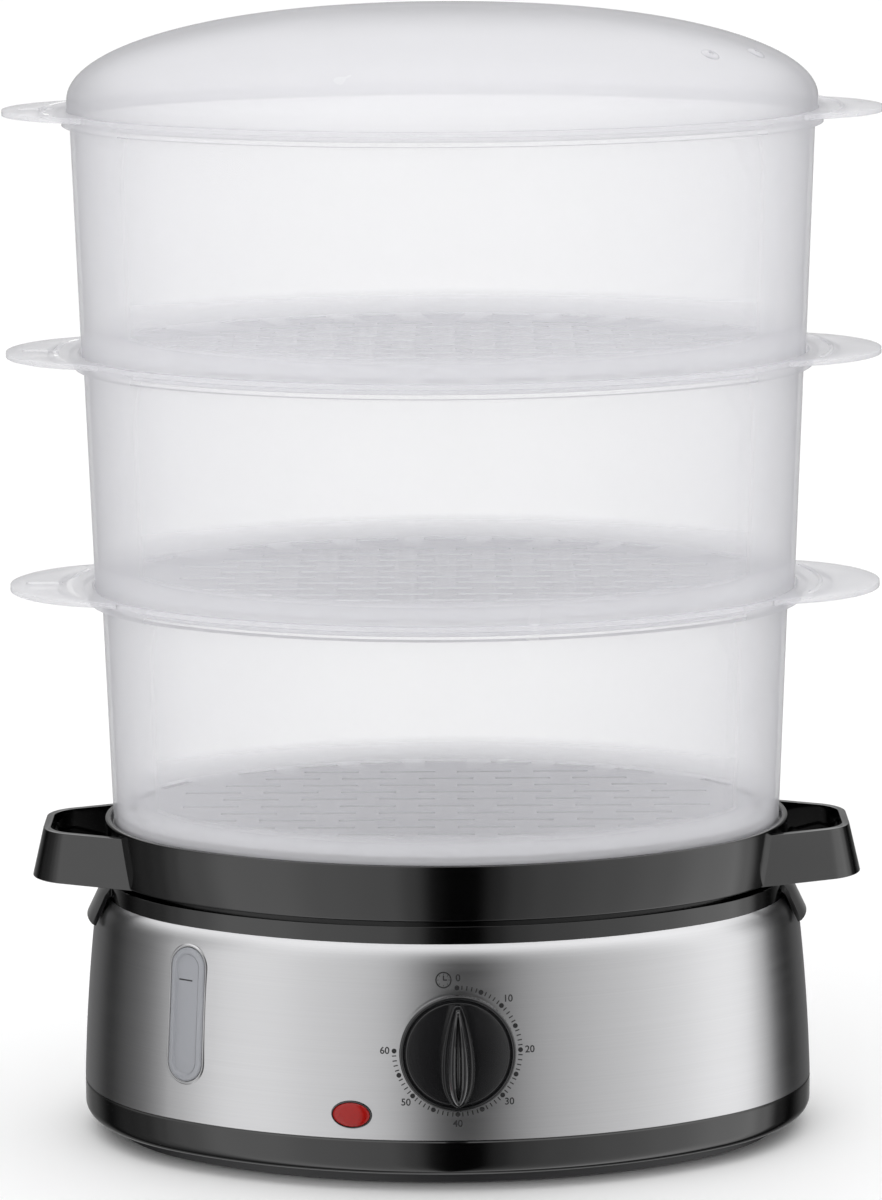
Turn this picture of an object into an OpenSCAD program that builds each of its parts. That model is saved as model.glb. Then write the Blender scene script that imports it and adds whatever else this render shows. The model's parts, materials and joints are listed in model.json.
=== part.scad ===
// Electric food steamer: a base with a timer and a heater, a drip tray, three baskets and a lid.
// Every wall follows one oval plan. A wall's place is its offset from that oval, minus for inside.
// +Z is up, the front is -Y, and the feet stand on z = 0.

/* [Plan] */
// Half of the oval's long axis, at the widest part of the base
half_l = 130; // [122:0.5:140]
// Half of the oval's short axis, at the widest part of the base
half_w = 97.5; // [92:0.5:102]

/* [Base] */
// Height of the steel band's lower edge
band_z0 = 18.6; // [17:0.1:20]
// Height of the steel band's upper edge
band_z1 = 85.4; // [84:0.1:90]
// Height of the base's top rim
rim_z = 91.5; // [91:0.1:96]
// How far the steel band leans in from its lower edge to its shoulder
band_lean = 4.2; // [3:0.1:5]
// How far the shoulder of the steel band turns in
shoulder_in = 4.5; // [4:0.1:5]
// Thickness of the steel band
band_t = 0.6; // [0.5:0.1:0.8]
// Wall of the base mouldings
base_wall = 2.2; // [2:0.1:2.6]
// Height of the water tub's floor, measured at its underside
tub_floor_z = 33.8; // [33:0.1:35]
// Half length of the grip flaps on the ends of the rim
grip_half = 22; // [16:1:28]
// How far the bottom cover stands in from the widest oval
cover_in = 10.5; // [9:0.5:11]
// Height of the rubber feet below the bottom cover
foot_h = 1; // [0.6:0.1:1.4]
// Radius of a rubber foot
foot_r = 7; // [6:0.5:8]

/* [Timer and lamp] */
// Place of the knob's centre to the right of the middle
knob_x = 3.3; // [0:0.1:5]
// Height of the knob's centre
knob_z = 49.6; // [48:0.1:51]
// Radius of the knob's disc
knob_r = 20; // [18:0.5:22]
// How far the knob's grip stands out of its disc
grip_h = 12; // [9:0.5:15]
// Radius of the timer's shaft
shaft_r = 3; // [2.5:0.1:3.5]
// Width and height of the timer's case
timer_w = 44; // [40:1:46]
// Depth of the timer's case
timer_d = 24; // [20:1:26]
// Place of the lamp to the left of the middle
lamp_x = 33.2; // [31:0.1:36]
// Height of the lamp's centre
lamp_z = 27; // [26.5:0.1:28]
// Width of the lamp's lens
lamp_w = 14; // [12:0.5:15]
// Height of the lamp's lens
lamp_h = 9.4; // [8.5:0.1:10]

/* [Water window] */
// Place of the window to the left of the middle
window_x = 91.7; // [85:0.1:96]
// Height of the window's centre
window_z = 56; // [54:0.5:57]
// Width of the window
window_w = 14; // [12:0.5:15]
// Height of the window
window_h = 47; // [42:0.5:48]

/* [Heater] */
// Radius of the hole in the tub's floor
heater_hole_r = 34; // [32:0.5:35]
// Radius of the heating element's ring, at the middle of its tube
element_ring_r = 23; // [21:0.5:24]
// Radius of the heating element's tube
element_tube_r = 3.2; // [2.8:0.1:3.5]
// Inner radius of the steam ring at its top
steam_ring_r = 44; // [43:0.5:45]
// Height of the steam ring
steam_ring_h = 42; // [34:1:46]

/* [Drip tray] */
// Height of the tray's collar
collar_z = 112.8; // [112:0.1:116]
// Gap between the base's rim and the tray's collar
tray_gap = 1.7; // [1.2:0.1:2.2]
// Wall of the tray
tray_wall = 2.2; // [2:0.1:2.4]
// Half of the span over the two handles
handle_half = 147; // [144:0.5:152]
// Depth of the basket's seat below the top of the collar
seat_depth = 2.8; // [2.4:0.1:4]
// Radius of the steam opening in the tray
chimney_r = 42; // [36:1:50]

/* [Baskets] */
// Height from the lower basket's seat to the seat on its rim
lower_pitch = 82.8; // [70:0.1:95]
// Height from the middle basket's seat to the seat on its rim
middle_pitch = 82.9; // [70:0.1:95]
// Height from the upper basket's seat to the seat on its rim
upper_pitch = 84.8; // [70:0.1:95]
// Wall of the baskets
basket_wall = 1.5; // [1.2:0.1:1.8]
// Gap between a basket's foot and the rim round it
basket_gap = 1.2; // [0.8:0.1:1.6]
// Height of a basket's floor above its foot, measured at its upper face
floor_up = 5; // [4:0.1:7]
// Thickness of a basket's floor
floor_t = 1.8; // [1.4:0.1:2.2]
// Half of the span over a basket's ears
ear_half = 153.8; // [151:0.1:158]
// Radius of an ear
ear_r = 43; // [38:0.5:46]
// Thickness of the lip and the ears
lip_t = 1.8; // [1.4:0.1:2.2]
// Width of a steam slot in a basket's floor
slot_w = 3; // [2:0.1:4]

/* [Lid] */
// Height of the lid above its seat
lid_h = 39.5; // [32:0.5:50]
// Wall of the lid
lid_wall = 1.8; // [1.5:0.1:2.4]
// Gap between the lid and the rim round it
lid_gap = 0.4; // [0.3:0.1:0.8]
// Radius of a steam vent
vent_r = 2.4; // [1.5:0.1:3]

/* [Hidden] */
$fn = 96;

// Clearances
fit_gap = 0.2;      // between pieces that are clamped or pressed together
shaft_gap = 0.06;   // between the timer's shaft and its bearing, on the radius
eps = 0.01;         // how far a cut runs past a face

// The oval: end arcs round (+-end_c, 0), side arcs round (0, -+side_c). The centres make 3-4-5
// triangles, so that the arcs meet without a step for any two half axes.
side_of = [0.6, 0.8];             // direction of the rays where the arcs meet
step = (half_l - half_w) / 2;
end_c = 3 * step;
side_c = 4 * step;
end_r = half_l - end_c;
side_r = end_r + 5 * step;
turn = atan2(4, 3);               // half angle of an end arc

// Base levels and offsets
cover_t = base_wall;
cover_z1 = foot_h + cover_t;
skirt_z0 = foot_h + 4.5;             // underside of the housing's skirt
skirt_round = 4.5;                   // rounding of the skirt's lower edge
shoulder_h = 8.5;                    // height of the band's shoulder
shoulder_z = band_z1 - shoulder_h;
belly = 0.6;                         // how far the band bulges between its lower edge and shoulder
rim_off = -band_lean - shoulder_in;  // outside of the base's rim
tub_wall_off = rim_off - 5.2;        // outside of the tub's wall at its top
tub_draft = 1;
tub_floor_top = tub_floor_z + base_wall;
boss_x = 72;                         // cover screws and their bosses
boss_y = 44;
boss_r = 4.5;
screw_r = 1.5;
foot_x = 84;
foot_y = 46;
foot_stem_r = 2;
screw_head_r = 3;
skin = band_t + fit_gap + base_wall; // from the band's face to the inside of the housing

// The band's face, as offset and height: one large arc from the lower edge to the shoulder
face_run = [-band_lean, shoulder_z - band_z0];
face_r = (pow(norm(face_run), 2) / 4 + belly * belly) / (2 * belly);
face_a0 = atan2(band_lean, face_run[1]) - asin(norm(face_run) / 2 / face_r);
face_a1 = atan2(band_lean, face_run[1]) + asin(norm(face_run) / 2 / face_r);
face_c = [0, band_z0] - face_r * [cos(face_a0), sin(face_a0)];

// The shoulder's arc goes on from there without a corner
shoulder_tilt = atan2(shoulder_in, shoulder_h);
shoulder_r = norm([shoulder_in, shoulder_h]) / 2 / sin(shoulder_tilt - face_a1);
shoulder_c = [-band_lean, shoulder_z] - shoulder_r * [cos(face_a1), sin(face_a1)];

// Timer, seen from the front
pad_back = skin + 2.4;  // from the band's face to the back of the housing's mounting pads
bay_gap = 5;            // room round the timer inside its bay
bell_r = 17;
bell_h = 7;
timer_screw_x = 15;
knob_gap = 1.6;         // between the band and the knob
disc_t = 4;             // thickness of the knob's disc
shaft_out = knob_gap + disc_t + 4;
shaft_flat = 0.8;       // depth of the flat that turns the knob with the shaft

// Drip tray levels
tray_z0 = rim_z + tray_gap;
collar_off = rim_off + 0.3;
lower_seat = collar_z - seat_depth;
tray_floor_z = rim_z - 5.5;
handle_top = collar_z - 2.4;

// Basket levels and offsets: a foot is the outside of a wall at its seat, a rim is the outside above
shelf_t = 1.6;
lip_rise = 3.4;
lip_w = 1.6;
middle_seat = lower_seat + lower_pitch;
upper_seat = middle_seat + middle_pitch;
lid_seat = upper_seat + upper_pitch;
lid_off = 1;
upper_rim = lid_off + lid_gap + basket_wall;
upper_foot = upper_rim - 5.8;
middle_rim = upper_foot + basket_gap + basket_wall;
middle_foot = middle_rim - 6.2;
lower_rim = middle_foot + basket_gap + basket_wall;
lower_foot = collar_off - tray_wall - 1;

function arc(c, r, a0, a1, n) = [for (i = [0:n])
    let (a = a0 + (a1 - a0) * i / n) c + r * [cos(a), sin(a)]];

// Sweeps a section round the oval: x is the offset, y is the height. Each arc is a full turn,
// cut to its share by the rays where the arcs meet.
module oval_sweep() {
    ray = 500 * side_of;
    for (s = [0, 180]) rotate(s) {
        intersection() {
            translate([end_c, 0, 0]) rotate_extrude() translate([end_r, 0]) children();
            linear_extrude(500) polygon([[end_c, 0], [end_c + ray[0], ray[1]], [end_c + ray[0], -ray[1]]]);
        }
        intersection() {
            translate([0, -side_c, 0]) rotate_extrude() translate([side_r, 0]) children();
            linear_extrude(500) polygon([[0, -side_c], [end_c + ray[0], ray[1]], [-end_c - ray[0], ray[1]]]);
        }
    }
}

// Sweeps a section round part of both ends only, up to half an angle each way
module ends_sweep(half_angle) {
    for (s = [0, 180]) rotate(s)
        translate([end_c, 0, 0])
            rotate(-half_angle)
                rotate_extrude(angle = 2 * half_angle)
                    translate([end_r, 0])
                        children();
}

// The flat oval at an offset
module oval(off) {
    for (s = [-1, 1]) translate([s * end_c, 0]) circle(r = end_r + off);
    intersection() {
        translate([0, side_c]) circle(r = side_r + off, $fn = 192);
        translate([0, -side_c]) circle(r = side_r + off, $fn = 192);
        square([2 * (end_c + (end_r + off) * side_of[0]), 3 * half_w], center = true);
    }
}

// Offset and lean of the band's outer face at a height below its shoulder
function face_lean(z) = asin((z - face_c[1]) / face_r);
function face_off(z) = face_c[0] + face_r * cos(face_lean(z));

// Places children on the front face of the band: origin on the face, +Z out of it, +Y up
module on_front(x, z) {
    translate([0, side_c, 0])
        rotate(asin(x / side_r))
            translate([0, -side_r - face_off(z), z])
                rotate([90 - face_lean(z), 0, 0])
                    children();
}

// The same place as on_front gives it, for one point
function front_point(x, z, p) =
    let (
        t = face_lean(z),
        a = asin(x / side_r),
        y = -side_r - face_off(z) - p[2] * cos(t) + p[1] * sin(t)
    ) [p[0] * cos(a) - y * sin(a), side_c + p[0] * sin(a) + y * cos(a), z + p[2] * sin(t) + p[1] * cos(t)];

// A slot's outline, upright
module stadium(w, h) {
    for (s = [-1, 1]) translate([0, s * (h - w) / 2]) circle(d = w);
    square([w, h - w], center = true);
}

// A small oval with its long axis along X
module lens_oval(w, h) {
    r = h * h / w / 2 * 1.09;
    c = w / 2 - r;
    big = (c * c + h * h / 4 - r * r) / (h - 2 * r);
    k = big - h / 2;
    for (s = [-1, 1]) translate([s * c, 0]) circle(r = r);
    intersection() {
        translate([0, k]) circle(r = big);
        translate([0, -k]) circle(r = big);
        square([2 * (c + r * cos(atan2(k, c))), 2 * h], center = true);
    }
}

// ---------------------------------------------------------------- lid

lid_sides = 18;   // points on each arc of the lid's oval
lid_edge = lid_seat + 7;
vent_places = [[0.7, -0.51], [0.827, -0.308]];  // as parts of the oval's two half axes

function oval_points(off, k, z) = [for (q = [0:3]) for (i = [0:lid_sides - 1])
    let (
        side = q % 2 == 1,
        span = side ? 180 - 2 * turn : 2 * turn,
        start = (q < 2 ? 0 : 180) + (side ? turn : -turn),
        a = start + span * i / lid_sides,
        c = side ? [0, q == 1 ? -side_c : side_c] : [q == 0 ? end_c : -end_c, 0],
        r = (side ? side_r : end_r) + off,
        p = c + r * [cos(a), sin(a)]
    ) [p[0] * k, p[1] * k, z]];

// Height of the dome at a part k of the way from the middle to the edge
function dome_z(k, top) = lid_edge + (top - lid_edge) * pow(1 - pow(k, 2.2), 0.49);

// How far out a point over the lid's right end lies, as a part of the way to the edge
function lid_share(p) =
    let (
        r = end_r + lid_off,
        pc = p[0] * end_c,
        pp = p * p
    ) pp / (pc + sqrt(pc * pc + pp * (r * r - end_c * end_c)));

// Slope of the dome there, square to the edge
function lid_slope(p, top) =
    let (
        k = lid_share(p),
        out = (p / k - [end_c, 0]) / (end_r + lid_off),
        fall = (top - lid_edge) * 0.49 * 2.2 * pow(k, 1.2) * pow(1 - pow(k, 2.2), -0.51)
    ) [atan(fall * k / (out * p)), atan2(out[1], out[0])];

lid_steps = [for (i = [0:11]) cos(90 * pow(i / 12, 1.25))];

module lid() {
    top = lid_seat + lid_h;
    outer = concat([oval_points(lid_off, 1, lid_seat)],
        [for (k = lid_steps) oval_points(lid_off, k, dome_z(k, top))]);
    inner = concat([for (i = [len(lid_steps) - 1:-1:0])
            oval_points(lid_off - lid_wall, lid_steps[i], dome_z(lid_steps[i], top - lid_wall))],
        [oval_points(lid_off - lid_wall, 1, lid_seat)]);
    rings = concat(outer, inner);
    n = 4 * lid_sides;
    m = len(rings);
    half = len(outer);
    points = concat([for (r = rings) each r], [[0, 0, top], [0, 0, top - lid_wall]]);
    walls = [for (j = [0:m - 1]) if (j != half - 1) for (i = [0:n - 1])
        [j * n + i, (j + 1) % m * n + i, (j + 1) % m * n + (i + 1) % n, j * n + (i + 1) % n]];
    caps = [for (i = [0:n - 1]) each [
        [(half - 1) * n + i, m * n, (half - 1) * n + (i + 1) % n],
        [half * n + (i + 1) % n, m * n + 1, half * n + i]]];
    color([0.93, 0.94, 0.96, 0.5])
        difference() {
            union() {
                polyhedron(points, concat(walls, caps), convexity = 6);
                for (v = vent_places)
                    let (
                        p = [v[0] * half_l, v[1] * half_w],
                        slope = lid_slope(p, top)
                    )
                        translate([p[0], p[1], dome_z(lid_share(p), top)])
                            rotate([0, slope[0], slope[1]])
                                translate([0, 0, -lid_wall / 2])
                                    cylinder(r = vent_r + 1.6, h = lid_wall / 2 + 0.9);
            }
            for (v = vent_places)
                translate([v[0] * half_l, v[1] * half_w, lid_seat])
                    cylinder(r = vent_r, h = lid_h);
        }
}

// ---------------------------------------------------------------- baskets

// The lip's outline: the oval, an ear on each end and a round corner where they meet
module ear_plan(off, ear) {
    fillet = 9;
    cx = ear_half - ear_r;
    r1 = end_r + off;
    r2 = ear_r + ear;
    d = cx - end_c;
    fx = (pow(r1 + fillet, 2) - pow(r2 + fillet, 2) + d * d) / (2 * d);
    fy = sqrt(pow(r1 + fillet, 2) - fx * fx);
    f = [fx + end_c, fy];
    t1 = [end_c, 0] + (f - [end_c, 0]) * r1 / (r1 + fillet);
    t2 = [cx, 0] + (f - [cx, 0]) * r2 / (r2 + fillet);
    oval(off);
    for (s = [0, 180]) rotate(s) {
        translate([cx, 0]) circle(r = r2);
        for (m = [0, 1]) mirror([0, m])
            difference() {
                polygon([t1, f, t2, [cx, 0]]);
                translate(f) circle(r = fillet);
            }
    }
}

// Steam slots: straight rows in the middle and a ring of curved ones near the wall
module floor_slots(off) {
    row = 12;
    length = 20;
    pitch = 28;
    for (j = [-5:5]) for (i = [-4:4]) {
        x = (i + (j % 2 == 0 ? 0 : 0.5)) * pitch;
        reach = pow((abs(x) + length / 2) / (half_l + off - 13), 2);
        if (reach + pow(j * row / (half_w + off - 13), 2) < 1)
            translate([x, j * row]) square([length, slot_w], center = true);
    }
    for (s = [0, 180]) rotate(s) {
        for (a = [-2:2])
            translate([end_c, 0]) rotate(a * 19)
                sector(end_r + off - 4 - slot_w, end_r + off - 4, 6);
        for (a = [-3:3])
            translate([0, -side_c]) rotate(90 + a * 9.6)
                sector(side_r + off - 4 - slot_w, side_r + off - 4, 3);
    }
}

// Part of a flat ring, up to half an angle each way
module sector(r0, r1, half_angle) {
    intersection() {
        difference() {
            circle(r = r1);
            circle(r = r0);
        }
        polygon([
            [0, 0], 2 * r1 * [cos(half_angle), -sin(half_angle)], 2 * r1 * [cos(half_angle), sin(half_angle)]
        ]);
    }
}

module basket(seat, pitch, foot, rim) {
    w = basket_wall;
    top = foot + 2.9;
    shelf = seat + pitch - shelf_t;
    lip_z = shelf + lip_rise;
    floor_z = seat + floor_up - floor_t;
    oval_sweep()
        polygon([
            [foot - w, seat], [foot, seat], [top, shelf], [rim, shelf], [rim, lip_z + lip_t],
            [rim - w, lip_z + lip_t], [rim - w, shelf + shelf_t], [top - w, shelf + shelf_t]
        ]);
    translate([0, 0, floor_z])
        linear_extrude(floor_t)
            difference() {
                oval(foot - w / 2);
                floor_slots(foot - w);
            }
    translate([0, 0, lip_z])
        linear_extrude(lip_t)
            difference() {
                ear_plan(rim + lip_w, 0);
                oval(rim - w / 2);
                translate([-ear_half + 12, 0]) rotate(90) stadium(5, 13);
            }
    // A rib on each ear, round the rim
    translate([0, 0, lip_z + lip_t - eps])
        linear_extrude(0.8)
            intersection() {
                difference() {
                    oval(rim + 7.2);
                    oval(rim + 5.8);
                }
                for (s = [-1, 1]) translate([s * (ear_half - ear_r), 0]) circle(r = ear_r - 4);
            }
}

module lower_basket()
    color([0.9, 0.91, 0.93, 0.5]) basket(lower_seat, lower_pitch, lower_foot, lower_rim);

module middle_basket()
    color([0.9, 0.91, 0.93, 0.5]) basket(middle_seat, middle_pitch, middle_foot, middle_rim);

module upper_basket()
    color([0.9, 0.91, 0.93, 0.5]) basket(upper_seat, upper_pitch, upper_foot, upper_rim);

// ---------------------------------------------------------------- drip tray

// A handle as a solid block, its outline grown by low at the bottom and by high at the top
module handle_solid(low, high, z0, z1) {
    corner = 13;
    root_x = 98;
    root_y = 34;
    root_r = 9;
    hull() {
        for (s = [-1, 1]) {
            translate([handle_half - corner, s * 15, z0])
                cylinder(r1 = corner + low, r2 = corner + high, h = z1 - z0, $fn = 32);
            translate([root_x, s * root_y, z0])
                cylinder(r1 = root_r + low, r2 = root_r + high, h = z1 - z0, $fn = 32);
        }
    }
}

module drip_tray() {
    w = tray_wall;
    o = collar_off;
    shelf_in = tub_wall_off - base_wall - 1;   // outside of the basin's wall
    color([0.06, 0.06, 0.07]) {
        oval_sweep()
            polygon([
                [o, tray_z0], [o, collar_z], [o - w, collar_z], [o - w, lower_seat],
                [shelf_in - w, lower_seat], [shelf_in - w, tray_floor_z],
                [shelf_in, tray_floor_z], [shelf_in, lower_seat - w], [o - w, lower_seat - w],
                [o - w, tray_z0]
            ]);
        // Handles: open loops that lean in towards the top
        difference() {
            for (s = [0, 180]) rotate(s) difference() {
                handle_solid(0, -4, tray_z0, handle_top);
                translate([0, 0, -eps]) handle_solid(-2.6, -6.6, tray_z0, handle_top + 2 * eps);
            }
            translate([0, 0, tray_z0 - 1])
                linear_extrude(collar_z)
                    oval(o - w / 2);
        }
        // Basin floor with the steam opening, and the wall round the opening
        translate([0, 0, tray_floor_z])
            linear_extrude(w)
                difference() {
                    oval(shelf_in - w / 2);
                    circle(r = chimney_r);
                }
        translate([0, 0, tray_floor_z])
            rotate_extrude()
                polygon([[chimney_r, 0], [chimney_r + w, 0], [chimney_r + w, 17], [chimney_r, 18]]);
        // Ribs that stand on the base's rim
        for (s = [0, 180]) rotate(s) {
            for (a = [-38, 0, 38])
                translate([end_c, 0, 0]) rotate(a) tray_rib(end_r, o, shelf_in);
            for (a = [-24, 0, 24])
                translate([0, -side_c, 0]) rotate(90 + a) tray_rib(side_r, o, shelf_in);
        }
    }
}

module tray_rib(r, o, shelf_in) {
    translate([r + shelf_in - eps, -1, rim_z])
        cube([o - tray_wall - shelf_in + 2 * eps, 2, lower_seat - tray_wall - rim_z + eps]);
}

// ---------------------------------------------------------------- steam ring

module steam_ring() {
    t = 1.8;
    spread = 2;
    color([0.75, 0.76, 0.78])
        translate([0, 0, tub_floor_top])
            difference() {
                rotate_extrude()
                    polygon([
                        [steam_ring_r + spread, 0], [steam_ring_r + spread + t, 0],
                        [steam_ring_r + t, steam_ring_h], [steam_ring_r - 3, steam_ring_h],
                        [steam_ring_r - 3, steam_ring_h - t], [steam_ring_r, steam_ring_h - t]
                    ]);
                for (a = [0:60:300])
                    rotate(a + 30)
                        translate([steam_ring_r - 2, -5, -eps])
                            cube([10, 10, 5]);
            }
}

// ---------------------------------------------------------------- base

// The timer's bay: a box behind the front wall that reaches up into the tub
bay_x0 = knob_x - timer_w / 2 - bay_gap;
bay_x1 = knob_x + timer_w / 2 + bay_gap;
bay_y = -half_w - face_off(knob_z) + pad_back + timer_d + bell_h + bay_gap;
bay_z = knob_z + timer_w / 2 + bay_gap;

module bay_box(grow) {
    translate([bay_x0 - grow, -half_w, tub_floor_z - 1])
        cube([bay_x1 - bay_x0 + 2 * grow, bay_y + half_w + grow, bay_z + grow - tub_floor_z + 1]);
}

module tub_section() {
    w = base_wall;
    t0 = tub_wall_off;
    polygon([
        [rim_off, band_z1], [rim_off, rim_z], [t0 - w, rim_z],
        [t0 - w - tub_draft, tub_floor_z], [t0 - tub_draft, tub_floor_z],
        [t0, rim_z - w], [rim_off - w, rim_z - w], [rim_off - w, band_z1]
    ]);
}

module water_tub() {
    w = base_wall;
    t0 = tub_wall_off;
    color([0.07, 0.07, 0.08])
        difference() {
            union() {
                oval_sweep() tub_section();
                translate([0, 0, tub_floor_z])
                    linear_extrude(w)
                        oval(t0 - w / 2 - tub_draft);
                intersection() {
                    bay_box(w);
                    translate([0, 0, tub_floor_z])
                        linear_extrude(bay_z)
                            oval(t0 - w / 2 - tub_draft);
                }
                // Finger grips that drape over the band's shoulder
                ends_sweep(grip_half / end_r * 180 / PI)
                    polygon([
                        [rim_off - 1, rim_z - 1], [rim_off, rim_z - 1], [rim_off + 2.4, rim_z - 4],
                        [rim_off + 7.2, shoulder_z + 0.6], [rim_off + 5.8, shoulder_z - 0.2],
                        [rim_off + 1.2, rim_z - 5.2], [rim_off, rim_z - 4.2], [rim_off - 1, rim_z - 4.2]
                    ]);
                // Screw bosses
                for (x = [-boss_x, boss_x], y = [-boss_y, boss_y])
                    translate([x, y, cover_z1])
                        cylinder(r = boss_r, h = tub_floor_z - cover_z1 + eps);
                // Port behind the water window
                on_front(-window_x, window_z)
                    translate([0, 0, -14.5])
                        linear_extrude(14.5 - window_back)
                            stadium(window_w + 3, window_h + 3);
            }
            bay_box(0);
            for (x = [-boss_x, boss_x], y = [-boss_y, boss_y])
                translate([x, y, cover_z1 - eps])
                    cylinder(r = screw_r, h = 14);
            translate([0, 0, tub_floor_z - eps])
                cylinder(r = heater_hole_r, h = w + 2 * eps);
            for (a = stud_angles)
                rotate(a)
                    translate([stud_place, 0, tub_floor_z - eps])
                        cylinder(r = stud_r + 0.3, h = w + 2 * eps);
            on_front(-window_x, window_z)
                translate([0, 0, -20])
                    linear_extrude(20)
                        stadium(window_w - 3, window_h - 3);
        }
}

// The band's outer face from its lower edge to its top, moved in by a step
function band_section(step) = concat(
    arc(face_c, face_r - step, face_a0, face_a1, 4),
    [for (i = [1:4]) arc(shoulder_c, shoulder_r - step, face_a1, 2 * shoulder_tilt - face_a1, 4)[i]]);

// A flat ring between two offsets
module ring_plate(off_in, off_out, z, t) {
    translate([0, 0, z])
        linear_extrude(t)
            difference() {
                oval(off_out);
                oval(off_in);
            }
}

module steel_band() {
    outside = band_section(0);
    inside = band_section(band_t);
    n = len(inside);
    flange = rim_off - base_wall + 1;
    color([0.72, 0.73, 0.74])
        difference() {
            union() {
                oval_sweep()
                    polygon(concat(
                        outside,
                        [[flange, band_z1], [flange, band_z1 - band_t], [inside[n - 1][0], band_z1 - band_t]],
                        [for (i = [n - 2:-1:0]) inside[i]]));
                ring_plate(flange - 1, flange + 1, band_z1 - band_t, band_t);
            }
            front_holes();
        }
}

// Openings through the band and the housing: shaft, timer screws, lamp, window and the cord's gland
module front_holes() {
    on_front(knob_x, knob_z) translate([0, 0, -8]) {
        cylinder(r = shaft_r + 2, h = 12);
        for (s = [-1, 1]) translate([s * timer_screw_x, 0, 0]) cylinder(r = screw_r + 0.3, h = 12);
    }
    on_front(-lamp_x, lamp_z)
        translate([0, 0, -8]) linear_extrude(12) lens_oval(lamp_w + 2 * fit_gap, lamp_h + 2 * fit_gap);
    on_front(-window_x, window_z)
        translate([0, 0, -8])
            linear_extrude(12)
                stadium(window_w + 2 * fit_gap, window_h + 2 * fit_gap);
    rotate(180) on_front(0, gland_z)
        translate([0, 0, -8]) cylinder(r = gland_r, h = 12);
}

module base_housing() {
    w = base_wall;
    outside = band_section(band_t + fit_gap);
    inside = band_section(skin);
    n = len(outside);
    flange_z = band_z1 - band_t - fit_gap;
    color([0.05, 0.05, 0.06])
        difference() {
            union() {
                oval_sweep()
                    polygon(concat(
                        arc([-skirt_round, skirt_z0 + skirt_round], skirt_round, -90, 0, 5),
                        [[0, band_z0], [outside[0][0], band_z0]],
                        [for (i = [1:n - 2]) outside[i]],
                        [[outside[n - 1][0], flange_z], [outside[n - 1][0], flange_z - w]],
                        [for (i = [n - 3:-1:0]) inside[i]],
                        [[inside[0][0], skirt_z0 + w], [-cover_in, skirt_z0 + w], [-cover_in, skirt_z0]]));
                ring_plate(tub_wall_off + 0.8, outside[n - 1][0] + 0.2, flange_z - w, w);
                ring_plate(-cover_in - 4, -cover_in + 1, skirt_z0, w);
                // Pads that the timer and the window's flange lie against
                on_front(knob_x, knob_z)
                    translate([0, 0, -pad_back]) cylinder(r = 19, h = 2.8);
                on_front(-window_x, window_z)
                    translate([0, 0, -pad_back]) linear_extrude(2.8) stadium(window_w + 5, window_h + 5);
            }
            front_holes();
        }
}

module bottom_cover() {
    lip_in = cover_in + 4 + fit_gap;
    color([0.05, 0.05, 0.06])
        difference() {
            union() {
                translate([0, 0, foot_h]) linear_extrude(cover_t) oval(-cover_in);
                ring_plate(-cover_in - 2, -cover_in, foot_h, skirt_z0 - foot_h);
                // A rim that finds the opening of the housing
                ring_plate(-lip_in - 1.6, -lip_in, foot_h + 1, skirt_z0 + 1 - foot_h);
            }
            for (x = [-boss_x, boss_x], y = [-boss_y, boss_y]) {
                translate([x, y, foot_h - eps]) cylinder(r = screw_r + 0.3, h = cover_t + 2 * eps);
                translate([x, y, foot_h - eps]) cylinder(r = screw_head_r + 0.4, h = 1.2);
            }
            for (x = [-foot_x, foot_x], y = [-foot_y, foot_y])
                translate([x, y, 0]) {
                    translate([0, 0, foot_h - eps]) cylinder(r = foot_r + fit_gap, h = 1);
                    translate([0, 0, foot_h]) cylinder(r = foot_stem_r + fit_gap / 2, h = 2 * cover_t);
                }
            // Cooling slots below the heater
            for (x = [-20:8:20])
                translate([x, 0, foot_h + cover_t / 2])
                    cube([slot_w, 46 - abs(x), cover_t + 1], center = true);
        }
}

module rubber_feet() {
    color([0.12, 0.12, 0.12])
        for (x = [-foot_x, foot_x], y = [-foot_y, foot_y])
            translate([x, y, 0])
                rotate_extrude()
                    polygon([
                        [0, 0], [foot_r - 0.8, 0], [foot_r, 0.8], [foot_r, foot_h + 0.9],
                        [foot_stem_r, foot_h + 0.9], [foot_stem_r, cover_z1 + 0.1],
                        [foot_stem_r + 0.9, cover_z1 + 0.1], [foot_stem_r - 0.6, cover_z1 + 2.4],
                        [0, cover_z1 + 2.4]
                    ]);
}

module cover_screws() {
    color([0.75, 0.75, 0.77])
        for (x = [-boss_x, boss_x], y = [-boss_y, boss_y])
            translate([x, y, foot_h + 0.2])
                difference() {
                    union() {
                        cylinder(r = screw_head_r, h = 0.95);
                        cylinder(r = screw_r - 0.05, h = 12);
                    }
                    for (a = [0, 90])
                        rotate(a)
                            translate([-2, -0.35, -1])
                                cube([4, 0.7, 1.5]);
                }
}

// ---------------------------------------------------------------- water window

window_seal_z = pad_back + 1.4;       // depth of the seal's front face behind the band
window_back = window_seal_z + 1.4;

module water_window() {
    color([0.75, 0.77, 0.8, 0.5])
        on_front(-window_x, window_z)
            difference() {
                union() {
                    translate([0, 0, -pad_back]) linear_extrude(pad_back + 0.2) stadium(window_w, window_h);
                    linear_extrude(0.7) stadium(window_w - 1.4, window_h - 1.4);
                    translate([0, 0, -window_seal_z])
                        linear_extrude(window_seal_z - pad_back) stadium(window_w + 5, window_h + 5);
                }
                translate([0, 0, -window_seal_z - eps])
                    linear_extrude(window_seal_z - 1.2)
                        stadium(window_w - 3, window_h - 3);
            }
}

module window_seal() {
    color([0.85, 0.85, 0.83])
        on_front(-window_x, window_z)
            translate([0, 0, -window_back])
                linear_extrude(window_back - window_seal_z)
                    difference() {
                        stadium(window_w + 3, window_h + 3);
                        stadium(window_w - 3, window_h - 3);
                    }
}

// ---------------------------------------------------------------- heater

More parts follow.
